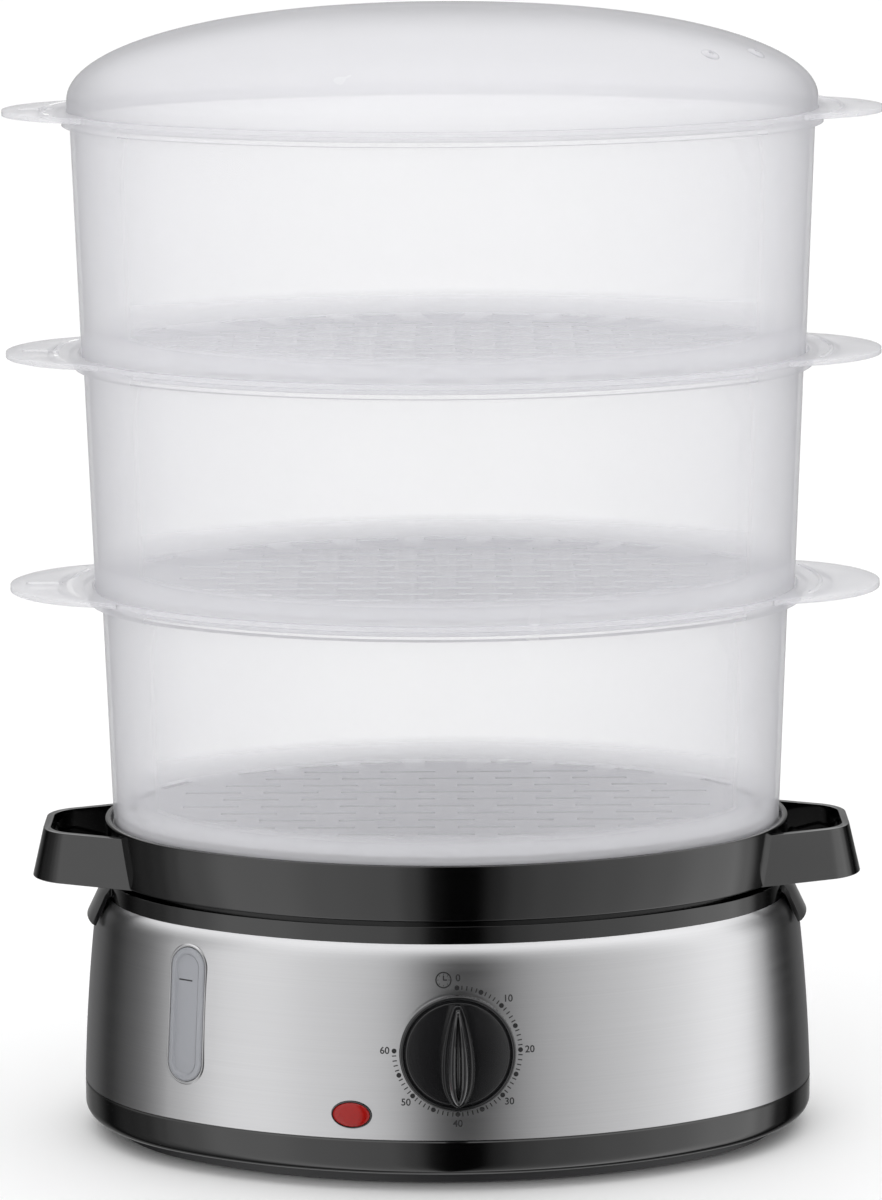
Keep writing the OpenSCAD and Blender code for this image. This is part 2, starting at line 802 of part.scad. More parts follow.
stud_angles = [90, 210, 330];
stud_place = heater_hole_r + 4.5;
stud_r = 1.9;
clip_t = 0.9;
seal_t = 1;
plate_t = 0.8;
dish_z = tub_floor_z - 3;     // underside of the plate's dish

module heater_plate() {
    flange_z = tub_floor_top + seal_t;
    edge = heater_hole_r - 1;
    color([0.7, 0.7, 0.72]) {
        rotate_extrude()
            polygon([
                [0, dish_z], [edge, dish_z], [edge, flange_z], [stud_place + 4, flange_z],
                [stud_place + 4, flange_z + plate_t], [edge - plate_t, flange_z + plate_t],
                [edge - plate_t, dish_z + plate_t], [0, dish_z + plate_t]
            ]);
        for (a = stud_angles)
            rotate(a)
                translate([stud_place, 0, tub_floor_z - 5])
                    cylinder(r = stud_r, h = flange_z - tub_floor_z + 5 + eps);
    }
}

module heater_seal() {
    color([0.8, 0.3, 0.2])
        translate([0, 0, tub_floor_top])
            linear_extrude(seal_t)
                difference() {
                    circle(r = stud_place + 3.6);
                    circle(r = heater_hole_r);
                    for (a = stud_angles) rotate(a) translate([stud_place, 0]) circle(r = stud_r + 0.1);
                }
}

module plate_nuts() {
    color([0.75, 0.75, 0.77])
        for (a = stud_angles)
            rotate(a)
                translate([stud_place, 0, tub_floor_z - 3 - (a == 90 ? clip_t : 0)])
                    linear_extrude(3)
                        difference() {
                            circle(d = 8, $fn = 6);
                            circle(r = stud_r + 0.05);
                        }
}

element_z = dish_z - element_tube_r - 0.05;
pin_angle = 24;   // half of the gap between the ends of the element
pin_z = 12;

module heating_element() {
    color([0.45, 0.44, 0.42]) {
        translate([0, 0, element_z])
            rotate(90 + pin_angle)
                rotate_extrude(angle = 360 - 2 * pin_angle)
                    translate([element_ring_r, 0])
                        circle(r = element_tube_r);
        for (s = [-1, 1])
            rotate(90 + s * (pin_angle + 6))
                translate([element_ring_r, 0, 0]) {
                    translate([0, 0, pin_z + 4]) cylinder(r = 2.2, h = element_z - pin_z - 4);
                    translate([0, 0, pin_z]) cylinder(r = 1, h = 5);
                }
    }
}

thermostat_r = 8;
thermostat_h = 7;

tab_x = 5;

module thermostat() {
    color([0.8, 0.78, 0.7])
        translate([0, 0, dish_z - thermostat_h]) {
            cylinder(r = thermostat_r, h = thermostat_h);
            translate([0, 0, thermostat_h - 1.2]) cylinder(r = thermostat_r + 1.5, h = 1.2);
            for (s = [-1, 1]) translate([s * tab_x - 2, -0.4, -6]) cube([4, 0.8, 6.5]);
        }
}

// A spring arm from the rear stud, between the element's ends, to the thermostat's flange
clip_z = dish_z - 1.2 - clip_t;

module thermostat_clip() {
    leg = heater_hole_r - 0.4;
    color([0.7, 0.7, 0.72])
        difference() {
            union() {
                translate([0, stud_place, tub_floor_z - clip_t]) cylinder(r = 4.2, h = clip_t);
                translate([-4, leg, tub_floor_z - clip_t]) cube([8, stud_place - leg, clip_t]);
                translate([-4, leg, clip_z]) cube([8, clip_t, tub_floor_z - clip_z]);
                translate([-4, 9, clip_z]) cube([8, leg - 9 + clip_t, clip_t]);
                translate([0, 0, clip_z]) cylinder(r = thermostat_r + 3.4, h = clip_t);
            }
            translate([0, 0, clip_z - 1]) cylinder(r = thermostat_r + 0.2, h = 3);
            translate([0, stud_place, tub_floor_z - 3]) cylinder(r = stud_r + 0.1, h = 5);
        }
}

fuse_at = [0, 29.5, clip_z - 2.25];
fuse_half = 17;

module thermal_fuse() {
    color([0.9, 0.9, 0.88])
        translate(fuse_at)
            rotate([0, 90, 0]) {
                cylinder(r = 2.2, h = 22, center = true);
                cylinder(r = 0.6, h = 2 * fuse_half, center = true);
            }
}

// ---------------------------------------------------------------- timer

tab_depth = pad_back + 14;
tab_low = timer_w / 2 + 6;
tab_place = 12;

module timer_case() {
    corner = 4;
    color([0.62, 0.63, 0.64])
        on_front(knob_x, knob_z)
            difference() {
                union() {
                    translate([0, 0, -pad_back - timer_d])
                        linear_extrude(timer_d) {
                            square([timer_w - 2 * corner, timer_w], center = true);
                            square([timer_w, timer_w - 2 * corner], center = true);
                            for (x = [-1, 1], y = [-1, 1])
                                translate([x, y] * (timer_w / 2 - corner)) circle(r = corner);
                        }
                    // Tabs for the leads
                    for (s = [-1, 1])
                        translate([s * tab_place - 2.4, -tab_low, -tab_depth]) cube([4.8, 7, 0.8]);
                }
                translate([0, 0, -pad_back - 12]) cylinder(r = shaft_r + shaft_gap, h = 20);
                for (s = [-1, 1])
                    translate([s * timer_screw_x, 0, -pad_back - 8]) cylinder(r = screw_r, h = 20);
            }
}

module timer_bell() {
    post = 2.5;
    color([0.78, 0.76, 0.7])
        on_front(knob_x, knob_z)
            translate([0, 0, -pad_back - timer_d - bell_h])
                rotate_extrude()
                    polygon([
                        [0, 0], [bell_r - 3, 0], [bell_r, 2.4],
                        [bell_r, bell_h - 1], [bell_r - 1, bell_h - 1],
                        [bell_r - 1, 2.8], [bell_r - 3.4, 1], [post, 1], [post, bell_h], [0, bell_h]
                    ]);
}

module timer_screws() {
    color([0.75, 0.75, 0.77])
        on_front(knob_x, knob_z)
            for (s = [-1, 1])
                translate([s * timer_screw_x, 0, 0]) {
                    translate([0, 0, -pad_back - 6]) cylinder(r = screw_r - 0.05, h = pad_back + 6);
                    translate([0, 0, -0.45]) cylinder(r = 2.8, h = 1.2);
                }
}

module timer_shaft() {
    color([0.8, 0.8, 0.82])
        on_front(knob_x, knob_z)
            difference() {
                translate([0, 0, -pad_back - 11.5]) cylinder(r = shaft_r, h = pad_back + 11.5 + shaft_out);
                translate([-shaft_r, shaft_r - shaft_flat, knob_gap - 0.4]) cube([2 * shaft_r, 2, shaft_out]);
            }
}

// The grip's outline: a drop with its point at the top
module drop(grow) {
    r = 5.9 + grow;
    tip = 1 + grow;
    low = -11.8;
    high = 15.6;
    tilt = asin((r - tip) / (high - low));
    translate([0, low]) circle(r = r);
    translate([0, high]) circle(r = tip);
    polygon([
        [0, low] + r * [cos(tilt), sin(tilt)], [0, high] + tip * [cos(tilt), sin(tilt)],
        [0, high] + tip * [-cos(tilt), sin(tilt)], [0, low] + r * [-cos(tilt), sin(tilt)]
    ]);
}

// The large round that the grip's crest follows, moved in by a step
module grip_round(crest, step = 0) {
    translate([0, -2, disc_t + grip_h - crest])
        rotate([0, 90, 0])
            cylinder(r = crest - step, h = 60, center = true, $fn = 192);
}

module timer_knob() {
    crest = 60;
    color([0.04, 0.04, 0.05])
        on_front(knob_x, knob_z)
            translate([0, 0, knob_gap])
                difference() {
                    union() {
                        rotate_extrude()
                            polygon([
                                [0, 0], [knob_r, 0], [knob_r, disc_t - 1.4],
                                [knob_r - 1.4, disc_t], [0, disc_t]
                            ]);
                        intersection() {
                            linear_extrude(disc_t + grip_h) drop(0);
                            grip_round(crest);
                        }
                    }
                    // A groove along the crest of the grip
                    difference() {
                        translate([0, -1.5, disc_t + grip_h / 2]) linear_extrude(grip_h) stadium(1.3, 26);
                        grip_round(crest, 0.8);
                    }
                    translate([0, 0, -eps])
                        intersection() {
                            cylinder(r = shaft_r + 0.03, h = shaft_out - knob_gap + 0.3);
                            translate([-shaft_r - 1, -shaft_r - 1, 0])
                                cube([2 * shaft_r + 2, 2 * shaft_r + 1 - shaft_flat + 0.03, 2 * shaft_out]);
                        }
                    // Hollow behind the disc, round the boss and over the screw heads
                    translate([0, 0, -eps])
                        rotate_extrude()
                            polygon([
                                [shaft_r + 2.4, 0], [knob_r - 2, 0],
                                [knob_r - 2, disc_t - 2.2], [shaft_r + 2.4, disc_t - 2.2]
                            ]);
                }
}

// ---------------------------------------------------------------- lamp

module lamp_lens() {
    color([0.75, 0.05, 0.03])
        on_front(-lamp_x, lamp_z)
            difference() {
                union() {
                    translate([0, 0, -5]) linear_extrude(6) lens_oval(lamp_w - 2.2, lamp_h - 2.2);
                    translate([0, 0, -12]) cylinder(r = 3.1, h = 8);
                }
                translate([0, 0, -12 - eps]) cylinder(r = 2.4, h = 9);
            }
}

module lamp_bezel() {
    color([0.05, 0.05, 0.05])
        on_front(-lamp_x, lamp_z) {
            translate([0, 0, -4])
                linear_extrude(4.8)
                    difference() {
                        lens_oval(lamp_w, lamp_h);
                        lens_oval(lamp_w - 2, lamp_h - 2);
                    }
        }
}

module neon_lamp() {
    color([0.95, 0.6, 0.4])
        on_front(-lamp_x, lamp_z)
            translate([0, 0, -14]) {
                cylinder(r = 2.3, h = 9);
                translate([0, 0, 9]) sphere(r = 1.4);
                for (s = [-1, 1]) translate([s * 1.4, 0, -4]) cylinder(r = 0.4, h = 5, $fn = 16);
            }
}

// ---------------------------------------------------------------- electrics at the back

gland_z = 26;
gland_r = 6;

module cord_gland() {
    bore = 3.6;
    color([0.08, 0.08, 0.08])
        rotate(180) on_front(0, gland_z)
            rotate_extrude()
                polygon([
                    [bore, -skin - 3], [gland_r + 1.6, -skin - 1.8], [gland_r + 1.6, -skin - 0.4],
                    [gland_r - 0.1, -skin - 0.4], [gland_r - 0.1, 0.1], [gland_r + 1.6, 0.1],
                    [gland_r + 1.6, 1.3], [bore, 2.5]
                ]);
}

block_y = 62;
block_pitch = 11;
block_hole_z = cover_z1 + 6;

module terminal_block() {
    color([0.92, 0.92, 0.9])
        translate([0, block_y, cover_z1])
            difference() {
                translate([-18, -8, 0]) cube([36, 16, 12]);
                for (i = [-1:1])
                    translate([i * block_pitch, 0, block_hole_z - cover_z1]) {
                        rotate([90, 0, 0]) cylinder(r = 2, h = 20, center = true);
                        cylinder(r = 1.8, h = 7);
                    }
            }
}

lead_r = 1.2;

function unit(v) = v / norm(v);

// A round tube through points, as one closed surface
module lead(p) {
    n = 8;
    m = len(p);
    dir = [for (i = [0:m - 1]) unit(p[min(i + 1, m - 1)] - p[max(i - 1, 0)])];
    side = [for (d = dir) unit(cross(d, abs(d[2]) > 0.9 ? [1, 0, 0] : [0, 0, 1]))];
    points = [for (i = [0:m - 1]) for (k = [0:n - 1])
        p[i] + lead_r * (cos(k * 360 / n) * side[i] + sin(k * 360 / n) * cross(side[i], dir[i]))];
    walls = [for (i = [0:m - 2]) for (k = [0:n - 1])
        [i * n + k, i * n + (k + 1) % n, (i + 1) * n + (k + 1) % n, (i + 1) * n + k]];
    ends = [[for (k = [n - 1:-1:0]) k], [for (k = [0:n - 1]) (m - 1) * n + k]];
    polyhedron(points, concat(walls, ends));
}

// A lead from a to b: it leaves them along da and db and runs at height z in between
module run(a, da, b, db, z) {
    p = a + da;
    q = b + db;
    low = [for (t = [0.2, 0.8]) [p[0] + (q[0] - p[0]) * t, p[1] + (q[1] - p[1]) * t, z]];
    lead([a, p, low[0], low[1], q, b]);
}

// Leads join the block, timer, fuse, thermostat, element and lamp in the order the current takes
module inner_leads() {
    holes = [for (i = [-1:1]) [i * block_pitch, block_y - 5, block_hole_z]];
    out = [0, -8, 0];
    down = [0, 0, -3];
    tabs = [for (x = [-tab_place - 1.1, 1.5 - tab_place, tab_place])
        front_point(knob_x, knob_z, [x, -tab_low - 0.1, 0.4 - tab_depth])];
    pins = [for (s = [-1, 1])
        let (a = 90 - s * (pin_angle + 6)) [element_ring_r * cos(a), element_ring_r * sin(a), pin_z - 0.05]];
    caps = [for (s = [-1, 1]) fuse_at + [s * (fuse_half + 0.1), 0, 0]];
    ears = [for (s = [-1, 1]) [s * tab_x, 0, dish_z - thermostat_h - 6.1]];
    wires = [for (x = [-1.4, 1.4]) front_point(-lamp_x, lamp_z, [x, 0, -18.1])];
    color([0.8, 0.8, 0.78]) {
        run(holes[0], out, pins[0], down, 8);
        run(holes[2], out, tabs[2], 2 * down, 5.2);
        run(tabs[1], 2 * down, caps[0], [-4, 0, 0], 8);
        run(caps[1], [4, 0, 0], ears[1], down, 12);
        run(ears[0], down, pins[1], down, 8);
        run(wires[0], [0, 7, -1], holes[1], out, 5.2);
        run(wires[1], [1, 6, 0], tabs[0], down, 15);
    }
}

lid();
upper_basket();
middle_basket();
lower_basket();
drip_tray();
steam_ring();
water_tub();
base_housing();
steel_band();
bottom_cover();
rubber_feet();
cover_screws();
water_window();
window_seal();
heater_plate();
heater_seal();
plate_nuts();
heating_element();
thermostat();
thermostat_clip();
thermal_fuse();
timer_case();
timer_bell();
timer_screws();
timer_shaft();
timer_knob();
lamp_lens();
lamp_bezel();
neon_lamp();
terminal_block();
cord_gland();
inner_leads();
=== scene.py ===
"""Electric food steamer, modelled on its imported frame: lid, three baskets, drip tray and base."""

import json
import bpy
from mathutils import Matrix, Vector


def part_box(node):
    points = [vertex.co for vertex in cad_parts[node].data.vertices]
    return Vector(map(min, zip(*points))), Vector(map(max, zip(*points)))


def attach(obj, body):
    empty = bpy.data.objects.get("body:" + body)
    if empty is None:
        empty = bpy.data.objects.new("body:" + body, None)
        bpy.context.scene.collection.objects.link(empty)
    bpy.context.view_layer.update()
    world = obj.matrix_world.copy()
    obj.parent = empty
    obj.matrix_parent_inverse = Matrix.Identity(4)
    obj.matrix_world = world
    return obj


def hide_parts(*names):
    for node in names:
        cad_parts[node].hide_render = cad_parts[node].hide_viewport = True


bl_info = {
    "name": "Food Steamer",
    "version": (1, 0, 0),
    "blender": (4, 5, 0),
    "location": "3D View > Sidebar > Steamer",
    "description": "Models an electric food steamer with a lid, three baskets, a drip tray and a base",
    "category": "Object",
}

from math import asin, atan2, cos, hypot, pi, radians, sin, sqrt

import bmesh
import bpy
from bpy.props import FloatProperty, FloatVectorProperty, PointerProperty
from mathutils import Matrix, Vector

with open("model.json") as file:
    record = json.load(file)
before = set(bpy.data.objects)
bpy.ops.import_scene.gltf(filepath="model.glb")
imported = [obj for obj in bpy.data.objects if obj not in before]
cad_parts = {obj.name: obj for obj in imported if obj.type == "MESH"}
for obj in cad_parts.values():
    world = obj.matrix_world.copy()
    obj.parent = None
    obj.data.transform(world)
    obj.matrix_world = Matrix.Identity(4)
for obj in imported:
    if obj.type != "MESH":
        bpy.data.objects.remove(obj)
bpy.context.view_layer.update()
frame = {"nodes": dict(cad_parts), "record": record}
MM = 0.001


def low(node):
    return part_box(node)[0]


def high(node):
    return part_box(node)[1]


# The oval plan: end arcs round (+-END_C, 0) and side arcs round (0, -+SIDE_C)
HALF_L, HALF_W = high("steel_band")[0], high("steel_band")[1]
STEP = (HALF_L - HALF_W) / 2
END_C, SIDE_C = 3 * STEP, 4 * STEP
END_R = HALF_L - END_C
SIDE_R = END_R + 5 * STEP
END_TURN = 2 * atan2(4, 3)
SIDE_TURN = pi - END_TURN

# Levels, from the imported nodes
BAND_Z0, BAND_Z1 = low("steel_band")[2], high("steel_band")[2]
RIM_Z = high("water_tub")[2]
TRAY_Z0, COLLAR_Z = RIM_Z + 1.7 * MM, high("drip_tray")[2]
SEATS = [low("lower_basket")[2], low("middle_basket")[2], low("upper_basket")[2], low("lid")[2]]
LID_TOP = high("lid")[2]
# Offsets from the oval: the lid's edge, the base's rim, the tray's collar and the tray's basin
LID_OFF = 1 * MM
RIM_OFF = -8.7 * MM
COLLAR_OFF = RIM_OFF + 0.3 * MM
BASIN_OFF = RIM_OFF - 8.4 * MM
# Middles of what sits on the band's face
KNOB_X, KNOB_Z = 3.3 * MM, 49.6 * MM
WINDOW_X, WINDOW_Z = -91.7 * MM, 56 * MM
LAMP_X, LAMP_Z = -33.2 * MM, 27 * MM
GLAND_Z = 26 * MM
# Walls of the base and the tray, and the opening behind the water window
BASE_WALL = 2.2 * MM
WINDOW_CUT = (14.4 * MM, 47.4 * MM)
# Points nearer than this are one point
SAME = 0.002 * MM


def length(name, description, default, **limits):
    return FloatProperty(name=name, description=description, default=default, subtype="DISTANCE", unit="LENGTH",
                         **limits)


def colour(name, description, default):
    return FloatVectorProperty(name=name, description=description, default=default, size=3,
                               min=0.0, max=1.0, subtype="COLOR")


class SteamerSizes(bpy.types.PropertyGroup):
    """Sizes of the pieces that show"""
    edge: length("Edge rounding", "Rounding on the edges of the baskets", 0.6 * MM, min=0.1 * MM, max=0.7 * MM)
    wall: length("Basket wall", "Thickness of the basket walls", 1.5 * MM, min=1.2 * MM, max=1.8 * MM)
    lid_wall: length("Lid wall", "Thickness of the lid", 1.8 * MM, min=1.2 * MM, max=2.4 * MM)
    ear_reach: length("Ear reach", "Half of the span over a basket's ears", high("upper_basket")[0])
    ear_radius: length("Ear radius", "Radius of an ear's outline", 43 * MM)
    handle_reach: length("Handle reach", "Half of the span over the tray's handles", high("drip_tray")[0])
    knob_radius: length("Knob radius", "Radius of the timer knob's disc", 20 * MM)
    grip_height: length("Grip height", "How far the grip stands out of the knob", 12 * MM)
    dial_radius: length("Dial radius", "Radius of the dial's dots round the knob", 21.9 * MM)
    number_height: length("Number size", "Type size of the dial's numbers", 3.4 * MM)


class SteamerFinishes(bpy.types.PropertyGroup):
    """Colours of the pieces that show"""
    plastic: colour("Basket plastic", "Clear milky plastic of the baskets and the lid", (0.84, 0.838, 0.87))
    black: colour("Black plastic", "Glossy black plastic of the base and the tray", (0.001, 0.001, 0.0011))
    steel: colour("Steel", "Brushed steel of the band", (0.62, 0.62, 0.63))
    lens: colour("Lamp lens", "Red plastic of the lamp's lens", (0.36, 0.008, 0.006))
    window: colour("Water window", "Grey plastic of the water window", (0.42, 0.43, 0.46))
    ink: colour("Dial print", "Ink of the dial", (0.015, 0.015, 0.016))


def sizes():
    return bpy.context.scene.steamer_sizes


def finishes():
    return bpy.context.scene.steamer_finishes


# ---------------------------------------------------------------- materials

def new_material(name):
    """A Principled material, its nodes, and its pattern's Object coordinates"""
    material = bpy.data.materials.new(name)
    material.use_nodes = True
    nodes = material.node_tree.nodes
    shader = nodes["Principled BSDF"]
    coordinates = nodes.new("ShaderNodeTexCoord")
    return material, shader, coordinates.outputs["Object"]


def link(material, source, target):
    material.node_tree.links.new(source, target)


def settle(node, **values):
    """Sets a node's inputs; an underscore stands for a space in an input's name"""
    for name, value in values.items():
        node.inputs[name.replace("_", " ")].default_value = value


def noise(material, vector, scale, detail=3.0, rough=0.5, stretch=None):
    nodes = material.node_tree.nodes
    if stretch:
        mapping = nodes.new("ShaderNodeMapping")
        settle(mapping, Scale=stretch)
        link(material, vector, mapping.inputs["Vector"])
        vector = mapping.outputs["Vector"]
    texture = nodes.new("ShaderNodeTexNoise")
    settle(texture, Scale=scale, Detail=detail, Roughness=rough)
    link(material, vector, texture.inputs["Vector"])
    return texture.outputs["Fac"]


def spread(material, value, low_value, high_value, start=0.3, end=0.7):
    """Maps a pattern's values onto a range"""
    ranged = material.node_tree.nodes.new("ShaderNodeMapRange")
    settle(ranged, From_Min=start, From_Max=end, To_Min=low_value, To_Max=high_value)
    link(material, value, ranged.inputs["Value"])
    return ranged.outputs["Result"]


def tint(material, value, dark, light):
    """Mixes two colours by a pattern"""
    mix = material.node_tree.nodes.new("ShaderNodeMix")
    mix.data_type = "RGBA"
    settle(mix, A=(*dark, 1), B=(*light, 1))
    link(material, value, mix.inputs["Factor"])
    return mix.outputs["Result"]


def bump(material, shader, value, strength, distance):
    node = material.node_tree.nodes.new("ShaderNodeBump")
    settle(node, Strength=strength, Distance=distance)
    link(material, value, node.inputs["Height"])
    link(material, node.outputs["Normal"], shader.inputs["Normal"])


def scaled(values, factor):
    return tuple(min(1.0, v * factor) for v in values)


def moulded(name, base, rough, grain=900.0, depth=0.02, vary=0.12, coat=0.0, metallic=0.0):
    """Moulded plastic, rubber or plain metal: a fine grain and slow changes of sheen"""
    material, shader, vector = new_material(name)
    slow = noise(material, vector, 28.0)
    base = tint(material, slow, scaled(base, 1 - vary), scaled(base, 1 + vary))
    link(material, base, shader.inputs["Base Color"])
    link(material, spread(material, slow, rough * 0.85, rough * 1.2), shader.inputs["Roughness"])
    bump(material, shader, noise(material, vector, grain, 4.0), 0.25, depth * MM)
    settle(shader, Metallic=metallic, Specular_IOR_Level=0.5, Coat_Weight=coat, Coat_Roughness=0.06)
    return material


def brushed(name, base, rough, stretch=(2.5, 2.5, 1100.0), strength=0.1, contrast=0.07, aniso=0.6):
    """Metal with brush lines along the band"""
    material, shader, vector = new_material(name)
    lines = noise(material, vector, 3.0, 5.0, 0.65, stretch)
    broad = noise(material, vector, 1.2, 3.0, 0.6, (stretch[0], stretch[1], stretch[2] / 3))
    link(material, tint(material, lines, scaled(base, 1 - contrast), scaled(base, 1 + contrast)),
         shader.inputs["Base Color"])
    link(material, spread(material, broad, rough * 0.94, rough * 1.08), shader.inputs["Roughness"])
    bump(material, shader, lines, strength, 0.05 * MM)
    settle(shader, Metallic=1.0, Anisotropic=aniso, Anisotropic_Rotation=0.25)
    tangent = material.node_tree.nodes.new("ShaderNodeTangent")
    tangent.direction_type = "RADIAL"
    tangent.axis = "Z"
    link(material, tangent.outputs["Tangent"], shader.inputs["Tangent"])
    return material


def clear(name, base, rough, body, edge_body, painted_edge_shade=None, thick_body=None, transmission=0.0, ior=1.45):
    """Clear milky plastic: more of it lies in the way where a wall is seen edge on or is thick; where a wall is seen
    edge on, its colour also turns to a painted edge shade
    """
    material, shader, vector = new_material(name)
    nodes = material.node_tree.nodes
    flow = noise(material, vector, 14.0, 4.0, 0.5, (1.0, 1.0, 0.35))
    facing = nodes.new("ShaderNodeLayerWeight")
    settle(facing, Blend=0.35)
    # The colour turns darker where a wall is seen edge on: this is painted shade, not a colour of the plastic
    edge = nodes.new("ShaderNodeMix")
    edge.data_type = "RGBA"
    edge.inputs["B"].default_value = (*(painted_edge_shade or base), 1)
    link(material, tint(material, flow, scaled(base, 0.98), scaled(base, 1.02)), edge.inputs["A"])
    link(material, facing.outputs["Facing"], edge.inputs["Factor"])
    colour, alpha = edge.outputs["Result"], spread(material, facing.outputs["Facing"], body, edge_body, 0.0, 1.0)
    # Where the plastic is thick it is more opaque and keeps its plain colour, without the painted edge shade
    if thick_body:
        thick = nodes.new("ShaderNodeAttribute")
        thick.attribute_name = "thick"
        full = nodes.new("ShaderNodeMix")
        full.inputs["B"].default_value = thick_body
        whole = nodes.new("ShaderNodeMix")
        whole.data_type = "RGBA"
        whole.inputs["B"].default_value = (*base, 1)
        for mix, value in ((full, alpha), (whole, colour)):
            link(material, thick.outputs["Fac"], mix.inputs["Factor"])
            link(material, value, mix.inputs["A"])
        colour, alpha = whole.outputs["Result"], full.outputs["Result"]
    link(material, colour, shader.inputs["Base Color"])
    link(material, alpha, shader.inputs["Alpha"])
    link(material, spread(material, flow, rough * 0.8, rough * 1.25), shader.inputs["Roughness"])
    bump(material, shader, noise(material, vector, 60.0, 3.0), 0.08, 0.2 * MM)
    settle(shader, Transmission_Weight=transmission, IOR=ior)
    return material


def make_materials():
    f = finishes()
    # In the clear materials, the scaled colour after the two opacities is painted shade where a wall is seen edge on
    return {
        "clear_frosted": clear("clear_milky_plastic", f.plastic, 0.22, 0.3, 0.85, scaled(f.plastic, 0.62)),
        "frosted": clear("milky_plastic", f.plastic, 0.22, 0.14, 0.72, scaled(f.plastic, 0.8), 0.66),
        "black_gloss": moulded("black_gloss_plastic", f.black, 0.1, 300.0, 0.003, 0.2, coat=0.85),
        "black_matte": moulded("black_fine_texture", (0.02, 0.02, 0.022), 0.4, 1400.0, 0.05),
        "knob_gloss": moulded("black_knob_plastic", scaled(f.black, 9), 0.2, 500.0, 0.005, 0.2, coat=0.7),
        "ring_plastic": moulded("grey_satin_plastic", (0.58, 0.59, 0.61), 0.38, 700.0, 0.03, 0.04),
        "brushed_band": brushed("brushed_steel_band", f.steel, 0.3),
        "foot_rubber": moulded("foot_rubber", (0.03, 0.03, 0.03), 0.7, 1600.0, 0.08),
        "seal_rubber": moulded("pale_seal_rubber", (0.7, 0.7, 0.67), 0.6, 1500.0, 0.06, 0.05),
        "seal_red": moulded("red_seal_rubber", (0.5, 0.1, 0.06), 0.55, 1500.0, 0.06, 0.08),
        "gland_rubber": moulded("gland_rubber", (0.025, 0.025, 0.025), 0.6, 1600.0, 0.07),
        "fastener_steel": moulded("plated_steel", (0.6, 0.6, 0.62), 0.25, 1200.0, 0.02, 0.06, metallic=1.0),
        "plate_steel": brushed("satin_plate_steel", (0.6, 0.6, 0.61), 0.3, (60.0, 60.0, 60.0), 0.06, 0.05, 0.2),
        "shaft_steel": brushed("turned_steel", (0.62, 0.62, 0.64), 0.28, (40.0, 900.0, 40.0), 0.1, 0.06, 0.3),
        "element_metal": moulded("dark_sheath_metal", (0.16, 0.15, 0.14), 0.45, 900.0, 0.04, 0.2, metallic=0.8),
        "timer_metal": moulded("plated_sheet_metal", (0.5, 0.5, 0.52), 0.35, 1100.0, 0.03, 0.08, metallic=0.9),
        "bell_metal": moulded("bell_brass", (0.6, 0.5, 0.3), 0.26, 1100.0, 0.02, 0.08, metallic=1.0),
        "ceramic": moulded("pale_ceramic", (0.75, 0.72, 0.64), 0.4, 800.0, 0.05, 0.05),
        "white_plastic": moulded("white_block_plastic", (0.78, 0.78, 0.75), 0.42, 900.0, 0.04, 0.04),
        "lens_red": clear("red_lens_plastic", f.lens, 0.09, 0.92, 0.98, transmission=0.15, ior=1.49),
        "lamp_glass": clear("lamp_glass", (0.9, 0.55, 0.4), 0.05, 0.35, 0.8, transmission=0.5, ior=1.5),
        "window_plastic": clear("grey_window_plastic", f.window, 0.16, 0.7, 0.95, scaled(f.window, 0.5)),
        "lead_sleeve": moulded("lead_sleeve", (0.7, 0.7, 0.66), 0.5, 900.0, 0.04, 0.06),
        "dial_ink": moulded("dial_ink", f.ink, 0.45, 2000.0, 0.01, 0.1),
        "dark_mark": moulded("dark_mark", (0.03, 0.03, 0.035), 0.4, 1500.0, 0.01, 0.1),
    }


MATERIALS = {}


# ---------------------------------------------------------------- shapes

def at(x, y, z):
    return Matrix.Translation((x, y, z))


def about(axis, angle):
    return Matrix.Rotation(angle, 4, axis)


def arc(centre, radius, start, end, count):
    """Points of an arc in a section, as offset and height"""
    turns = [start + (end - start) * i / count for i in range(count + 1)]
    return [(centre[0] + radius * cos(a), centre[1] + radius * sin(a)) for a in turns]


def oval_spin(bm, section, closed=True, end_steps=96, side_steps=44):
    """Spins a section of offsets and heights round the oval, one arc after another"""
    corner = [(END_C + 0.6 * (END_R + o), -0.8 * (END_R + o), z) for o, z in section]
    verts = [bm.verts.new(co) for co in corner]
    after = verts[1:] + (verts[:1] if closed else [])
    geometry = verts + [bm.edges.new(pair) for pair in zip(verts, after)]
    made = list(verts)
    for centre, angle, steps in (((END_C, 0, 0), END_TURN, end_steps), ((0, -SIDE_C, 0), SIDE_TURN, side_steps),
                                 ((-END_C, 0, 0), END_TURN, end_steps), ((0, SIDE_C, 0), SIDE_TURN, side_steps)):
        before = set(bm.verts)
        spun = bmesh.ops.spin(bm, geom=geometry, cent=centre, axis=(0, 0, 1), dvec=(0, 0, 0), angle=angle,
                              steps=steps, use_merge=False, use_normal_flip=False, use_duplicate=False)
        made += [v for v in bm.verts if v not in before]
        geometry = [g for g in spun["geom_last"] if not isinstance(g, bmesh.types.BMFace)]
    bmesh.ops.remove_doubles(bm, verts=made, dist=SAME)


def round_spin(bm, section, centre=(0, 0), closed=True, steps=96):
    """Spins a section of radii and heights round an upright line"""
    verts = [bm.verts.new((centre[0] + r, centre[1], z)) for r, z in section]
    after = verts[1:] + (verts[:1] if closed else [])
    edges = [bm.edges.new(pair) for pair in zip(verts, after)]
    bmesh.ops.spin(bm, geom=verts + edges, cent=(*centre, 0), axis=(0, 0, 1), dvec=(0, 0, 0), angle=2 * pi,
                   steps=steps, use_merge=True, use_normal_flip=False, use_duplicate=False)
    bmesh.ops.remove_doubles(bm, verts=bm.verts, dist=SAME)


def close(bm):
    """Fills each open ring of edges"""
    bmesh.ops.holes_fill(bm, edges=[e for e in bm.edges if e.is_boundary], sides=0)


def face_out(bm):
    bmesh.ops.recalc_face_normals(bm, faces=bm.faces)
    bm.normal_update()


